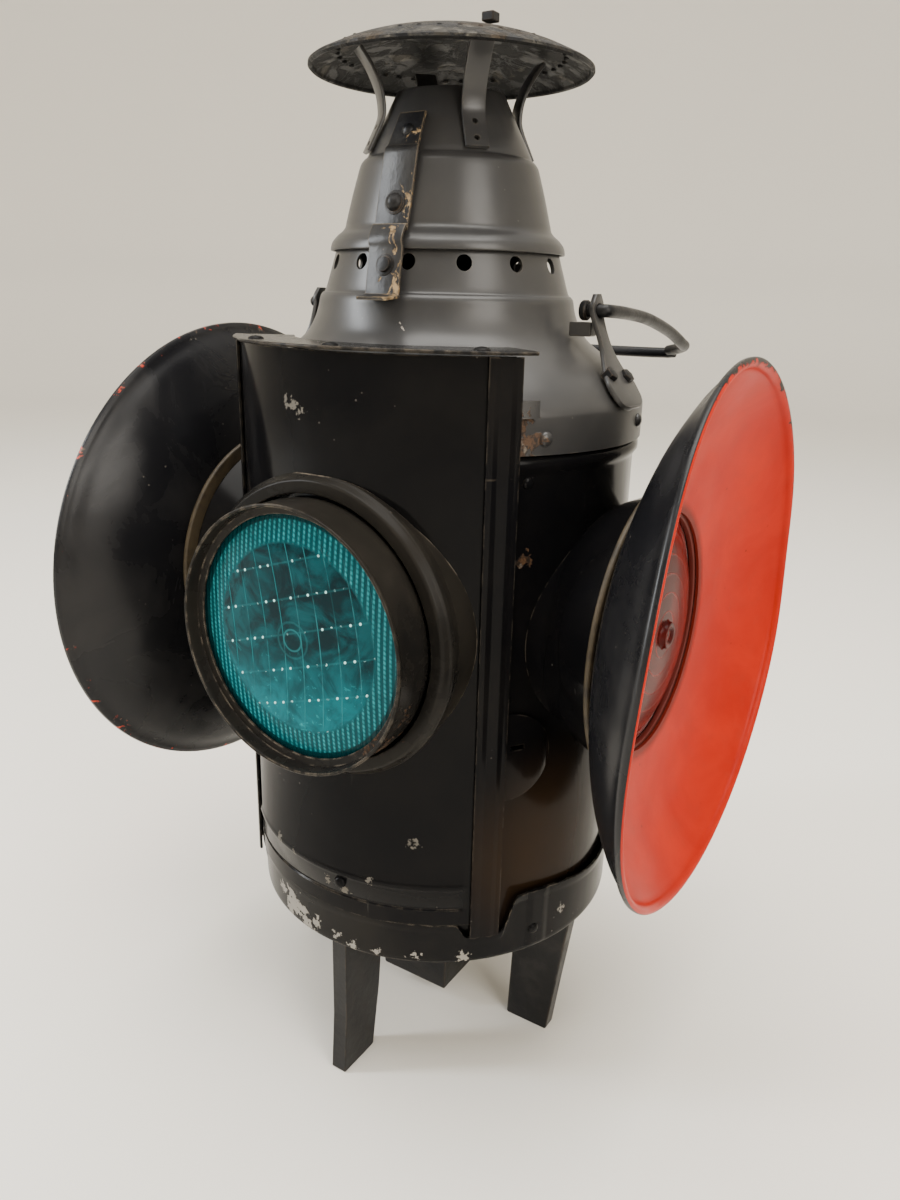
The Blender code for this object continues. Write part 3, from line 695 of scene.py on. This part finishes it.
def ring_metal():
    """Dull bronze clamp ring, over-painted dark red inside."""
    p = Paint("tarnished_ring", roughness=0.55, Specular_IOR_Level=0.3)
    radius = radius_from(p, "X", SIDE_Z)
    dull = p.mix(p.step(p.noise(9, 6.0, 0.65), 0.4, 0.7), (0.060, 0.045, 0.026), (0.026, 0.020, 0.013))
    colour = p.mix(p.step(radius, 55.0, 58.0), (0.085, 0.010, 0.006), dull)
    return p.done(colour, None, p.bump(p.noise(1.5, 4.0), 0.05, 0.6))


def cotton():
    """Woven lamp wick."""
    p = Paint("woven_wick", roughness=0.95, Sheen_Weight=0.3)
    x, _, z = p.axes()
    weave = p.times(p.wave(x, 1.1 * MM), p.wave(z, 0.9 * MM))
    colour = p.mix(p.step(weave, -0.6, 0.6), (0.52, 0.47, 0.36), (0.72, 0.68, 0.56))
    return p.done(colour, None, p.bump(weave, 0.2, 0.8))


M = {
    "body": enamel("body_black_enamel", (0.0035, 0.0035, 0.0042), (0.013, 0.0115, 0.010), 0.5, 0.13,
                   rust=[((70.0, -49.0, 262.0), 3.0)],
                   # Warm brown patch low on the body's right: a painted reflection of the floor.
                   painted_reflections=[((80.0, -34.0, 132.0), 58.0, (0.022, 0.012, 0.0055))]),
    "door": enamel("door_black_enamel", (0.0030, 0.0030, 0.0036), (0.011, 0.010, 0.009), 0.4, 0.11,
                   chips=[((-13, -88, 320), 2.4), ((-8, -88, 317), 1.8), ((1.0, -89.5, 113), 1.6),
                          ((-32, -84, 119), 1.8), ((22, -87, 118.6), 1.4), ((-20, -87, 117.5), 1.2),
                          ((10, -89, 110), 1.8), ((40, -80, 140), 1.8)],
                   chip_colour=(0.115, 0.105, 0.09)),
    # Dome base several times lighter than the body's: partly real dust, partly painted light for the
    # brighter-lit dome.
    "dome": enamel("dome_dust_and_painted_light_enamel", (0.026, 0.0255, 0.026), (0.056, 0.053, 0.049), 0.5, 0.30,
                   chips=[((16, -58, 349.5), 1.6), ((46, -74, 322.5), 1.6), ((52, -69.5, 322), 1.2)],
                   chip_colour=(0.34, 0.31, 0.27), shine=0.4,
                   rust=[((66, -58, 315), 7.5), ((70, -54, 308), 5.0), ((72.5, -50, 310), 3.5)]),
    "flange": enamel("flange_chipped_enamel", (0.007, 0.007, 0.0075), (0.022, 0.020, 0.018), 0.45, 0.24,
                     edge=1.0),
    "pan": enamel("pan_chipped_enamel", (0.0045, 0.0045, 0.005), (0.020, 0.018, 0.015), 0.5, 0.19,
                  chips=[((-26, -84, 86.5), 4.6), ((-18, -86, 85.0), 3.8), ((-34, -81, 90), 2.2),
                         ((-27, -84, 80.5), 2.4), ((4, -88, 83), 1.8), ((12, -87, 80.5), 1.8),
                         ((24, -84.5, 81), 1.8), ((40, -78, 82), 1.8), ((-8, -87.6, 84.5), 2.6),
                         ((-14, -87, 80), 3.0), ((58, -66, 80.5), 2.6), ((84, -24, 92), 1.6)],
                  chip_colour=(0.24, 0.225, 0.20), edge=0.8),
    "hood": enamel("hood_worn_enamel", (0.0075, 0.0070, 0.0065), (0.034, 0.029, 0.022), 0.5, 0.26,
                   rust=[((34, -101, 200), 9.0), ((44, -99, 212), 6.0)], edge=0.9),
    "cap": cap_paint(),
    "red": red_enamel(),
    "back": target_back(),
    "green_glass": green_glass(),
    "red_glass": red_glass(),
    "latch": worn_latch(),
    "iron": iron(),
    "ring": ring_metal(),
    "brass": bare_metal("tarnished_brass", (0.40, 0.28, 0.12), (0.20, 0.14, 0.07), 0.35),
    "tin": bare_metal("dull_tinplate", (0.36, 0.35, 0.33), (0.20, 0.19, 0.18), 0.38),
    "wick": cotton(),
}


# --- Body, pan and legs ---------------------------------------------------------------------

def make_body():
    inner, bottom = BODY_R - SHEET, BODY_BOTTOM + 0.4
    wall = [(BODY_R, bottom), (BODY_R, 295.2)]
    bead = [(86.1, 296.9), (BEAD_R, 298.6), (BEAD_R + 0.1, 299.9), (BEAD_R, 301.2), (86.3, 302.7)]
    outline = wall + bead + [(BODY_R, BODY_TOP), (inner, BODY_TOP), (inner, bottom)]
    shell = turned("body_shell_skin", outline, M["body"], segments=180)
    doorway = sector("cut_doorway", [(75, 101), (95, 101), (95, 294), (75, 294)], -40, 40, [], step=4)
    cutters = [doorway, cylinder("cut_peep", polar(57, 70, PEEP_Z), polar(57, 100, PEEP_Z), 7)]
    for azimuth, height in ((90, SIDE_Z), (270, SIDE_Z), (180, LENS_Z)):
        ends = [polar(azimuth, r, height) for r in (60, 95)]
        cutters.append(cylinder("cut_hole_%d" % azimuth, *ends, 44, sides=72))
    carve(shell, *cutters)
    stand_for(shell, "lantern", "body_shell")
    spots = [upright(55, BODY_R, 293.0, 2.4, 1.0), upright(52, BODY_R, 203.0, 1.6, 0.9)]
    rivets("body_rivets", spots, M["body"], "lantern")


PAN_EDGE = [(0, 98.6), (38.5, 98.6), (42, 91.5), (52, 91.5), (57, 109.0), (97.5, 103.5), (180, 103.5)]


def pan_top(azimuth):
    """Height of the base pan's wavy rim at an azimuth."""
    turn = abs((azimuth + 180) % 360 - 180)
    for (a0, z0), (a1, z1) in zip(PAN_EDGE, PAN_EDGE[1:]):
        if turn <= a1:
            share = (turn - a0) / (a1 - a0)
            ease = share * share * (3 - 2 * share)
            return z0 + (z1 - z0) * ease + 0.35 * math.sin(math.radians(azimuth * 7))
    return PAN_EDGE[-1][1]


def make_pan():
    rows = []
    for i in range(360):
        azimuth = float(i)
        top = pan_top(azimuth)
        turn = abs((azimuth + 180) % 360 - 180)
        flare = 1.6 * math.exp(-((turn - 57) / 4.0) ** 2) + 0.25 * math.sin(math.radians(azimuth * 5))
        lap = 0.7 if 61.0 < azimuth < 67.5 else 0.0
        outline = [(9, PAN_BOTTOM), (PAN_R - 0.4, PAN_BOTTOM), (PAN_R + lap, PAN_BOTTOM + 2.4),
                   (PAN_R + 0.1 + lap, top - 4.5), (PAN_R + 0.7 + flare + lap, top),
                   (PAN_R - 0.6 + flare, top + 0.3), (86.4, top - 4.5), (86.4, 80.2), (9, 80.2)]
        rows.append([polar(azimuth, r, z) for r, z in rounded(outline, 0.8, steps=2)])
    pan = skin("base_pan_skin", rows, M["pan"], looped=True)
    stand_for(pan, "lantern", "base_pan")
    spots = [upright(63, PAN_R + 0.6, 88.9, 2.6, 1.4)]
    places = ((-63, 88.9), (150, 90.0), (210, 90.0))
    spots += [upright(azimuth, PAN_R, z, 2.6, 1.3) for azimuth, z in places]
    rivets("pan_rivets", spots, M["pan"], "lantern")


def channel_outline(sign, root):
    """Section of one door channel from its root strip, out round its web to its ridged lip and back."""
    lip, web = 42.5, CHANNEL_HALF - 0.8
    outline = []
    arcs = root[:1] + [(CHANNEL_R, CHANNEL_HALF, lip), (DOOR_R + 0.4, lip, web)] + root[1:]
    for radius, start, end in arcs:
        for k in range(7):
            azimuth = start + (end - start) * k / 6
            ridge = 0.0
            if radius == CHANNEL_R and 0 < k < 6:
                ridge = 0.35 * math.sin((azimuth - lip) * math.pi / 2.1)
            outline.append(polar(sign * azimuth, radius + ridge, 0).xy)
    return rounded(outline, 0.35, steps=2)


def make_channels():
    """Each channel has a foot against the body up to the dome, and stands free of it above."""
    foot, web, split = 43.0, CHANNEL_HALF - 0.8, 295.9
    low_root = [(86.0, foot, CHANNEL_HALF), (87.2, web, foot)]
    high_root = [(88.5, web, CHANNEL_HALF)]
    for side, sign in (("right", 1), ("left", -1)):
        for name, root, ends in (("channel_skin_", low_root, (CHANNEL_BOTTOM, split)),
                                 ("channel_top_skin_", high_root, (split, CHANNEL_TOP))):
            outline = channel_outline(sign, root)
            rows = [[Vector((p.x, p.y, z)) for p in outline] for z in ends]
            stand_for(skin(name + side, rows, M["body"], angle=25), "lantern", "door_channel_" + side)


def make_peep_cover():
    start, centre, radius = CHANNEL_HALF + 0.6, 52.4, 20.0
    degree = math.radians(1.0) * BODY_R
    last = centre + 0.995 * radius / degree
    rows = []
    for k in range(33):
        azimuth = start + (last - start) * math.sin(math.pi / 2 * k / 32)
        half = math.sqrt(max(radius ** 2 - ((azimuth - centre) * degree) ** 2, 1.0))
        low, high = BODY_R + 0.35, BODY_R + 1.5
        bottom, top = PEEP_Z - half, PEEP_Z + half
        outline = rounded([(low, bottom), (high, bottom), (high, top), (low, top)], 0.4, 2)
        rows.append([polar(azimuth, r, z) for r, z in outline])
    cover = skin("peep_cover_skin", rows, M["body"])
    slot = sector("cut_slot", [(80, 180.2), (95, 180.2), (95, 182.4), (80, 182.4)], 53.0, 57.2, [])
    carve(cover, slot)
    stand_for(cover, "lantern", "peep_cover")


def make_base():
    for side in ("front", "right", "rear", "left"):
        soften("leg_" + side, M["iron"], 0.9)
    soften("spindle_socket", M["iron"], 1.2)


# --- Dome, ears and bail --------------------------------------------------------------------

def make_dome():
    lower = [(DRUM_R, DRUM_BOTTOM), (DRUM_R + 0.05, 316.0), (87.6, 319.2), (86.0, 322.2), (82.2, 327.0),
             (76.8, 331.8), (70.0, 336.6), (64.2, 340.8), (60.2, 345.0), (57.6, 349.8), (56.0, 354.4),
             (55.3, 357.8)]
    upper = [(54.9, 359.2), (53.9, 360.4), (52.7, 361.6), (50.4, 369.0), (47.6, 378.4)]
    outer = curve_through(lower, 4) + curve_through(upper, 3)
    inner = [(r - SHEET, z - 0.15) for r, z in reversed(outer)]
    dome = turned("dome_skin", outer + inner, M["dome"], segments=168)
    cutters = []
    for i in range(VENT_COUNT):
        azimuth = VENT_FIRST + 360.0 / VENT_COUNT * i
        ends = [polar(azimuth, r, VENT_Z) for r in (40, 58)]
        cutters.append(cylinder("cut_vent_%d" % i, *ends, VENT_R))
    carve(dome, *cutters)
    stand_for(dome, "lantern", "dome", "vent_collar")
    lug = ribbon("dome_lug", [(88.5, 318.0), (88.3, 324.5)], [4.0, 4.0], 2.2, M["dome"], 53.0)
    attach(lug, "lantern")
    places = ((58.4, 310.0), (100, 312.0), (-58.4, 310.0), (-100, 312.0))
    spots = [upright(azimuth, DRUM_R, z, 2.9, 1.9) for azimuth, z in places]
    rivets("dome_rivets", spots, M["dome"], "lantern")


def make_ears():
    line = curve_through([(89.9, 317.8), (88.2, 320.2), (83.9, 326.3), (79.5, 332.5), (75.0, 342.5),
                          (70.6, 354.0), (70.4, 358.0), (70.2, 362.0)], 5)
    halves = (5.0, 10.2, 12.2, 8.6, 4.2, 4.7, 4.9, 2.2)
    widths = curve_through(list(enumerate(halves)), 5)
    for side, azimuth in (("right", 90), ("left", 270)):
        ear = ribbon("ear_skin_" + side, line, [w.y for w in widths], 2.2, M["dome"], azimuth, edge=0.7)
        ends = [polar(azimuth, r, BAIL_PIVOT_Z) for r in (60, 80)]
        hole = cylinder("cut_eye_" + side, *ends, 3.0)
        carve(ear, hole)
        stand_for(ear, "lantern", "ear_" + side)
        shape = bmesh.new()
        outward, across = polar(azimuth, 1, 0), polar(azimuth + 90, 1, 0)
        for offset, z, turn in ((-7.0, 329.5, 0.3), (7.0, 328.0, 0.9)):
            slope = Vector((0, 0, 0.71)) + outward * 0.71
            centre = polar(azimuth, 82.6 - (z - 326.3) * 0.7, z) + across * offset + slope * 1.6
            head = rounded([(3.2, -1.0), (3.2, 3.2), (0.4, 3.4)], 0.7, 2, closed=False)
            button(shape, centre, slope, head, sides=6, turn=turn)
        bolts = finish_mesh("ear_bolts_" + side, shape, M["iron"])
        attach(bolts, "lantern")
        soften("ear_brace_" + side, M["dome"], 0.6)


def make_bail():
    corner = 22.0
    side = [Vector((BAIL_X, y, BAIL_PIVOT_Z - fall))
            for y, fall in ((3.0, 0.1), (22.0, 1.2), (46.0, 3.8), (74.0, 9.6), (93.0, 15.6))]
    bend = []
    for k in range(1, 5):
        angle = math.pi / 2 * k / 4
        x = BAIL_X - corner + corner * math.cos(angle)
        y = BAIL_REACH - corner + corner * math.sin(angle)
        bend.append(Vector((x, y, BAIL_PIVOT_Z - 15.6 - 6.2 * k / 4)))
    half = [Vector((66.0, 0, BAIL_PIVOT_Z)), Vector((BAIL_X - 2.4, 0, BAIL_PIVOT_Z))] + side + bend
    route = half + [Vector((-p.x, p.y, p.z)) for p in reversed(half)]
    wire = tube("bail_skin", curve_through(route, 5), WIRE_R, M["iron"])
    stand_for(wire, "bail", "bail")
    shape = bmesh.new()
    for sign in (1, -1):
        head = [(3.6, 0.0), (4.0, 0.6), (4.0, 2.4), (3.4, 3.0)]
        button(shape, (sign * 65.2, 0, BAIL_PIVOT_Z), (sign, 0, 0), head)
    heads = finish_mesh("bail_heads", shape, M["iron"])
    stand_for(heads, "bail", "bail")


# --- Chimney lid, cap and latch -------------------------------------------------------------

def make_lid():
    outer = [(50.4, 377.0), (50.3, 378.6), (49.6, 380.6), (47.6, 383.0), (45.2, 384.8), (44.0, 386.4),
             (43.6, 388.4), (41.0, 398.6), (38.0, 409.0), (37.2, 411.2), (35.8, 412.8), (34.7, 413.4),
             (33.9, 415.4), (28.6, 425.8), (22.4, 438.2)]
    inner = [(r - 1.15, z - 0.5) for r, z in reversed(outer)]
    inner[0], inner[-1] = (21.3, 438.2), (49.2, 377.0)
    line = rounded(outer + inner, 1.1, steps=3)
    chimney = turned("chimney_skin", line, M["dome"], segments=168)
    stand_for(chimney, "chimney_lid", "chimney")
    top = curve_through([(0.01, 461.1), (12, 460.7), (24, 459.4), (36, 456.8), (46, 453.6), (53, 450.6),
                         (57, 448.8)], 4)
    rim = [(58.3, 447.9), (58.4, 446.9), (57.6, 446.1), (56.6, 446.5)]
    under = curve_through([(56.2, 447.6), (52.4, 449.6), (45.4, 452.6), (35.6, 455.7), (24, 458.1),
                           (12, 459.5), (0.01, 459.8)], 4)
    cap = turned("cap_skin", top + rim + under, M["cap"], segments=168)
    stand_for(cap, "chimney_lid", "cap")
    soften("cap_bolt", M["iron"], 0.6)
    shape = bmesh.new()
    for k in range(40):
        if k % 10 in (0, 9):
            continue
        azimuth = 9.0 * k
        button(shape, polar(azimuth, 46.8, 452.3), polar(azimuth, 0.35, 0) - Vector((0, 0, 1)),
               [(1.4, -0.5), (1.4, 0.4), (0.9, 0.8)], sides=12)
    beads = finish_mesh("cap_pressed_beads", shape, M["cap"])
    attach(beads, "chimney_lid")


def make_straps():
    points = curve_through([(34.9, 414.6), (29.4, 426.0), (28.5, 431.5), (29.8, 438.5), (33.6, 446.4),
                            (38.4, 453.0)], 5)
    for i in range(4):
        azimuth = STRAP_AZIMUTH + 90 * i
        strap = ribbon("cap_strap_skin_%d" % (i + 1), points, [4.8] * len(points), 1.6, M["dome"], azimuth,
                       edge=0.5)
        tilt = (polar(azimuth, 1, 0) * 0.9 + Vector((0, 0, 0.44))).normalized()
        cutters = []
        for z, r in ((424.2, 31.0), (418.0, 34.0)):
            centre = polar(azimuth, r, z)
            ends = (centre - tilt * 3.2, centre + tilt * 5)
            cutters.append(cylinder("cut_strap_%d_%d" % (i, z), *ends, 1.15, sides=16))
        carve(strap, *cutters)
        stand_for(strap, "chimney_lid", "cap_strap_%d" % (i + 1))


def make_latch():
    knots = [(28.7, 427.4), (36.2, 414.8), (38.5, 411.8), (45.1, 386.8), (47.8, 385.2), (51.2, 380.2),
             (51.4, 376.6), (53.9, 366.0), (55.7, 360.6), (57.6, 358.8), (64.6, 358.0)]
    shifts = [1.4 + 6.0 * i / (len(knots) - 1) for i in range(len(knots))]
    halves = [6.2] + [7.4] + [8.0] * 7 + [8.2, 7.4]
    line = curve_through([(r, z, h) for (r, z), h in zip(knots, halves)], 4)
    slide = curve_through([(s, 0.0) for s in shifts], 4)
    strap = ribbon("latch_strap_skin", [(p.x, p.y) for p in line], [p.z for p in line], 1.2, M["latch"], 0,
                   shifts=[s.x for s in slide], edge=0.5)
    stand_for(strap, "latch", "latch_strap")
    shape = bmesh.new()
    out = Vector((0, -0.9, 0.44))
    steep = Vector((0, -0.97, 0.24))
    button(shape, (2.0, -33.6, 421.0), out, dome_head(2.6, 1.6))
    button(shape, (3.6, -44.4, 394.0), steep, dome_head(3.6, 3.2))
    button(shape, (3.6, -44.4, 394.0), steep, [(4.6, -0.4), (4.6, 0.25), (4.2, 0.4)])
    flat_head = rounded([(3.0, -0.5), (3.0, 1.6), (0.3, 1.6)], 0.5, 2, closed=False)
    button(shape, (5.8, -53.9, 371.0), steep, flat_head)
    button(shape, (5.8, -53.9, 371.0), steep, [(4.2, -0.4), (4.2, 0.2), (3.8, 0.35)])
    studs = finish_mesh("latch_studs", shape, M["iron"])
    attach(studs, "latch")


def make_hinge():
    for node, material in (("hinge_base", "dome"), ("hinge_leaf", "dome"), ("hinge_pin", "iron")):
        soften(node, M[material], 0.25)
    spots = [(Vector((x, 53.0, 366.0)), (0, 1, 0.3), 1.9, 2.2) for x in (-8, 8)]
    rivets("hinge_base_rivets", spots, M["iron"], "lantern")
    spots = [(Vector((x, 44.0, 394.6)), (0, 1, 0.26), 1.9, 1.5) for x in (-5, 5)]
    rivets("hinge_leaf_rivets", spots, M["iron"], "chimney_lid")


# --- Lenses, targets and hoods --------------------------------------------------------------

def target_bend(azimuth):
    """Old knocks in a day target, which is less round and less flat towards its rim."""
    def bend(angle, d, r):
        share = max(0.0, (r - 62.0) / 56.0) ** 1.6
        if azimuth == 90:
            near = math.exp(-((angle - 2.85) / 0.80) ** 2)
            far = math.exp(-(math.remainder(angle - 0.12, 2 * math.pi) / 0.30) ** 2)
            inward = 4.2 - 1.8 * math.sin(angle) + 12.0 * near + 1.0 * far
            return d + share * (6.0 * near - 1.2 * far), r - share * inward
        inward = 0.6 + 1.4 * math.sin(2 * angle)
        return d - share * (0.8 + 1.2 * math.sin(2 * angle)), r - share * inward
    return bend


def make_side(side, azimuth):
    holder_line = rounded([(57, 45.6), (80, 46.0), (89.8, 51.8), (104.5, 57.8), (104.7, 59.2),
                           (103.9, 59.6), (89.6, 53.4), (79.8, 47.6), (57, 47.2)], 2.0, steps=4)
    holder = barrel("lens_holder_skin_" + side, holder_line, azimuth, M["body"], height=SIDE_Z)
    carve(holder, core_cutter("cut_core_" + side, BODY_R + 0.3))
    stand_for(holder, "lantern", "lens_holder_" + side)

    lens_line = [(96.0, 0.01), (95.2, 40), (93.4, 51.8), (104.4, 51.8), (104.8, 49.2)]
    lens_line += curve_through([(105.6, 47), (108.6, 41.5), (110.6, 34), (112.2, 22), (112.9, 10),
                                (113.0, 6.6)], 4)
    lens_line += [(113.6, 6.0), (115.2, 5.6), (115.5, 4.8), (115.2, 3.4), (114.4, 2.6), (114.3, 0.01)]
    lens = barrel("lens_skin_" + side, lens_line, azimuth, M["red_glass"], segments=96, height=SIDE_Z)
    stand_for(lens, "lantern", "lens_" + side)

    ring_line = rounded([(105.2, 50.6), (105.2, 64.4), (105.9, 65.0), (107.0, 65.0), (107.7, 64.4),
                         (107.7, 50.6)], 0.5)
    ring = barrel("clamp_ring_skin_" + side, ring_line, azimuth, M["ring"], height=SIDE_Z)
    stand_for(ring, "lantern", "clamp_ring_" + side)

    face = curve_through([(109.5, 51.9), (110.1, 60), (112.8, 74), (118.8, 91), (126.4, 105.0),
                          (131.2, 111.8)], 5)
    lip = curve_through([(132.4, 113.2), (134.2, 114.0), (135.4, 115.4), (135.6, 116.8),
                         (134.6, TARGET_R), (133.0, 118.1)], 3)
    back = curve_through([(132.0, 116.8), (130.2, 113.6), (124.9, 106.3), (117.4, 92), (111.5, 74.7),
                          (108.7, 60.5), (108.25, 51.9)], 5)
    outline = face + lip + back
    red_edges = len(face) + len(lip) - 5
    zones = [0 if i < red_edges else 1 for i in range(len(outline))]
    zones[-1] = 0
    target = barrel("target_skin_" + side, outline, azimuth, [M["red"], M["back"]], segments=192,
                    zones=zones, height=SIDE_Z, bend=target_bend(azimuth))
    stand_for(target, "lantern", "target_" + side)


def make_end(side, azimuth, wall, body):
    """One green lens with its collar and hood, on a wall of this radius; profiles suit the door's."""
    base = wall - DOOR_R

    def moved(line):
        return [(d + base, r) for d, r in line]

    collar_line = rounded([(57, 55.6), (93.3, 55.6), (93.3, 60.6), (92.6, 61.4), (90.4, 62.6), (89.6, 63.4),
                           (87.4, 63.2), (81.5, 61.0), (57, 59.8)], 0.8, steps=3)
    collar = barrel("lens_collar_skin_" + side, moved(collar_line), azimuth, M["hood"])
    carve(collar, core_cutter("cut_core_" + side, wall + 0.3))
    stand_for(collar, body, "lens_collar_" + side)

    lens_line = [(96.0, 0.01), (95.2, 40), (93.0, LENS_R - 0.2), (103.0, LENS_R - 0.2)]
    lens_line += curve_through([(103.6, 50.2), (104.3, 46), (105.6, 34), (106.5, 18), (106.8, 0.01)], 5)
    lens = barrel("lens_skin_" + side, moved(lens_line), azimuth, M["green_glass"], segments=128)
    stand_for(lens, body, "lens_" + side)

    hood_line = rounded([(91.4, 52.9), (91.4, 54.0), (96.0, 54.5), (103.0, 54.3), (109.8, 54.4),
                         (111.2, 55.0), (111.8, 54.6), (111.7, 53.6), (110.0, 53.3), (106.0, 53.0),
                         (105.7, 49.9), (104.6, 49.9), (104.2, 52.9)], 0.5, steps=2)
    hood = barrel("lens_hood_skin_" + side, moved(hood_line), azimuth, M["hood"], segments=168)
    stand_for(hood, body, "lens_hood_" + side)

    outward, across, up = polar(azimuth, 1, 0), polar(azimuth + 90, 1, 0), Vector((0, 0, 1))
    angle = math.radians(222)
    spoke = across * math.cos(angle) + up * math.sin(angle)
    tangent = up * math.cos(angle) - across * math.sin(angle)
    middle = Vector((0, 0, LENS_Z)) + outward * (98.6 + base) + spoke * 61.0
    for end in (-1, 1):
        root = middle - spoke * 7.2 + tangent * 5.5 * end
        rows = []
        for reach, half in ((0, 3.6), (3, 3.6), (6, 3.6), (9, 3.4), (11.2, 2.8), (12.4, 1.8)):
            section = rounded([(-half, -1.0), (half, -1.0), (half, 1.0), (-half, 1.0)], 0.4, 2)
            rows.append([root + spoke * reach + outward * a + tangent * b for a, b in section])
        lug = skin("hood_lug_%s_%d" % (side, end + 1), rows, M["hood"])
        stand_for(lug, body, "lens_hood_" + side)
    shape = bmesh.new()
    head = rounded([(4.0, 0), (4.0, 2.0), (3.0, 3.6), (0.3, 3.8)], 0.8, 2, closed=False)
    button(shape, middle + tangent * 7.4, tangent, head)
    thread = [(1.75 + (0.22 if k % 2 else 0.0), -19.8 + 0.45 * k) for k in range(44)]
    button(shape, middle + tangent * 7.4, tangent, thread, sides=16)
    screw = finish_mesh("clamp_screw_skin_" + side, shape, M["iron"])
    stand_for(screw, body, "clamp_screw_" + side)
    soften("clamp_nut_" + side, M["iron"], 0.4)


# --- Sliding door ---------------------------------------------------------------------------

def make_door():
    inner = DOOR_R - 1.3
    rows = []
    steps = 99
    for i in range(steps):
        azimuth = -DOOR_HALF + 2 * DOOR_HALF * i / (steps - 1)
        inside = min(1.0, max(0.0, 41.5 - abs(azimuth)))
        low, mid, high = -0.45 * inside, 0.45 * inside, 0.75 * inside
        face = [(0, DOOR_BOTTOM), (0, 106.8), (low, 107.3), (low, 108.2), (0, 108.8), (0, 116.2),
                (mid, 117.0), (high, 118.2), (mid, 119.4), (0, 120.2), (0, 180), (0, 280), (0, DOOR_TOP)]
        outline = [(DOOR_R + rise, z) for rise, z in face] + [(inner, DOOR_TOP), (inner, DOOR_BOTTOM)]
        rows.append([polar(azimuth, r, z) for r, z in outline])
    panel = skin("door_panel_skin", rows, M["door"])
    carve(panel, cylinder("cut_door_hole", (0, -60, LENS_Z), (0, -99, LENS_Z), 48, sides=72))
    stand_for(panel, "door", "door_panel")

    rows = []
    for i in range(109):
        azimuth = -54 + i
        reach = 92.4 + 0.35 * math.sin(math.radians(azimuth * 11))
        reach += 0.25 * math.sin(math.radians(azimuth * 23 + 40))
        lift = 0.2 * math.sin(math.radians(azimuth * 4 + 30))
        outline = [(66.8, 340.7), (88.0, 340.7), (reach, 340.8 + lift), (reach + 0.4, 341.7 + lift),
                   (reach, 342.2 + lift), (88.0, 342.1), (66.8, 342.1)]
        rows.append([polar(azimuth, r, z) for r, z in rounded(outline, 0.35, 2)])
    flange = skin("door_flange_skin", rows, M["flange"])
    stand_for(flange, "door", "door_flange")
    spots = [(Vector((x, y, 342.0)), (0, 0, 1), 3.3, 1.5)
             for x, y in ((-41.7, -76.5), (5.8, -88.0), (57.7, -66.0))]
    rivets("flange_rivets", spots, M["flange"], "door")
    spots = [upright(4.8, DOOR_R, 113.4, 2.9, 1.9)]
    rivets("door_rivets", spots, M["door"], "door")


def make_inside():
    for node, material in (("fount_seat", "body"), ("oil_fount", "tin"), ("filler_cap", "brass"),
                           ("burner", "brass"), ("wick_knob", "brass"), ("wick", "wick")):
        soften(node, M[material], 0.2)


# --- Stage ----------------------------------------------------------------------------------

def make_stage():
    shape = bmesh.new()
    rows = []
    outline = [(900, 0), (2400, 0), (3000, 60), (3400, 330), (3650, 900), (3700, 3200)]
    for radius, height in curve_through(outline, 6):
        rows.append([shape.verts.new(polar(3.75 * k, radius, height)) for k in range(96)])
    for first, second in zip(rows, rows[1:]):
        for k in range(96):
            j = (k + 1) % 96
            shape.faces.new((first[k], first[j], second[j], second[k]))
    shape.faces.new(rows[0])
    p = Paint("pale_backdrop", roughness=0.85)
    p.set("Base Color", p.mix(p.noise(400, 2.0), (0.80, 0.765, 0.695), (0.82, 0.785, 0.715)))
    floor = finish_mesh("floor", shape, p.material)


def area(name, place, aim, size, power, colour):
    data = bpy.data.lights.new(name, "AREA")
    data.shape = "RECTANGLE"
    data.size, data.size_y = size
    data.energy = power
    data.color = colour
    lamp = bpy.data.objects.new(name, data)
    lamp.location = place
    lamp.rotation_euler = (Vector(aim) - Vector(place)).to_track_quat("-Z", "Y").to_euler()
    bpy.context.scene.collection.objects.link(lamp)


def make_light():
    world = bpy.data.worlds.new("soft_room")
    world.use_nodes = True
    back = world.node_tree.nodes["Background"]
    back.inputs["Color"].default_value = (0.80, 0.77, 0.71, 1.0)
    back.inputs["Strength"].default_value = 1.2
    bpy.context.scene.world = world
    area("overhead", (0.1, -0.1, 1.9), (0, 0, 0.25), (1.5, 1.5), 60, (1.0, 0.97, 0.92))
    area("left_window", (-1.5, -1.1, 1.0), (0, 0, 0.3), (0.24, 1.3), 38, (0.92, 0.96, 1.0))
    area("right_fill", (1.7, -0.7, 1.1), (0, 0, 0.2), (0.9, 1.2), 28, (1.0, 0.95, 0.88))


def make_camera():
    """The camera stands where the lamp's ellipses put it: 431 mm out, at azimuth 32.7 degrees."""
    yaw, pitch, roll = math.radians(32.13), math.radians(18.38), math.radians(1.34)
    forward = Vector((-math.sin(yaw) * math.cos(pitch), math.cos(yaw) * math.cos(pitch), -math.sin(pitch)))
    level = Vector((math.cos(yaw), math.sin(yaw), 0.0))
    above = level.cross(forward)
    right = level * math.cos(roll) + above * math.sin(roll)
    up = above * math.cos(roll) - level * math.sin(roll)
    data = bpy.data.cameras.new("camera")
    data.sensor_fit = "VERTICAL"
    data.sensor_height = 36.0
    data.lens = 28.06
    data.clip_start = 0.01
    camera = bpy.data.objects.new("camera", data)
    turn = Matrix((right, up, -forward)).transposed().to_4x4()
    camera.matrix_world = Matrix.Translation((0.2333, -0.3632, 0.3626)) @ turn
    bpy.context.scene.collection.objects.link(camera)
    bpy.context.scene.camera = camera


make_camera()
make_light()
make_stage()
make_body()
make_pan()
make_channels()
make_peep_cover()
make_base()
make_dome()
make_ears()
make_bail()
make_lid()
make_straps()
make_latch()
make_hinge()
make_side("right", 90)
make_side("left", 270)
make_door()
make_end("front", 0, DOOR_R, "door")
make_end("rear", 180, BODY_R, "lantern")
make_inside()
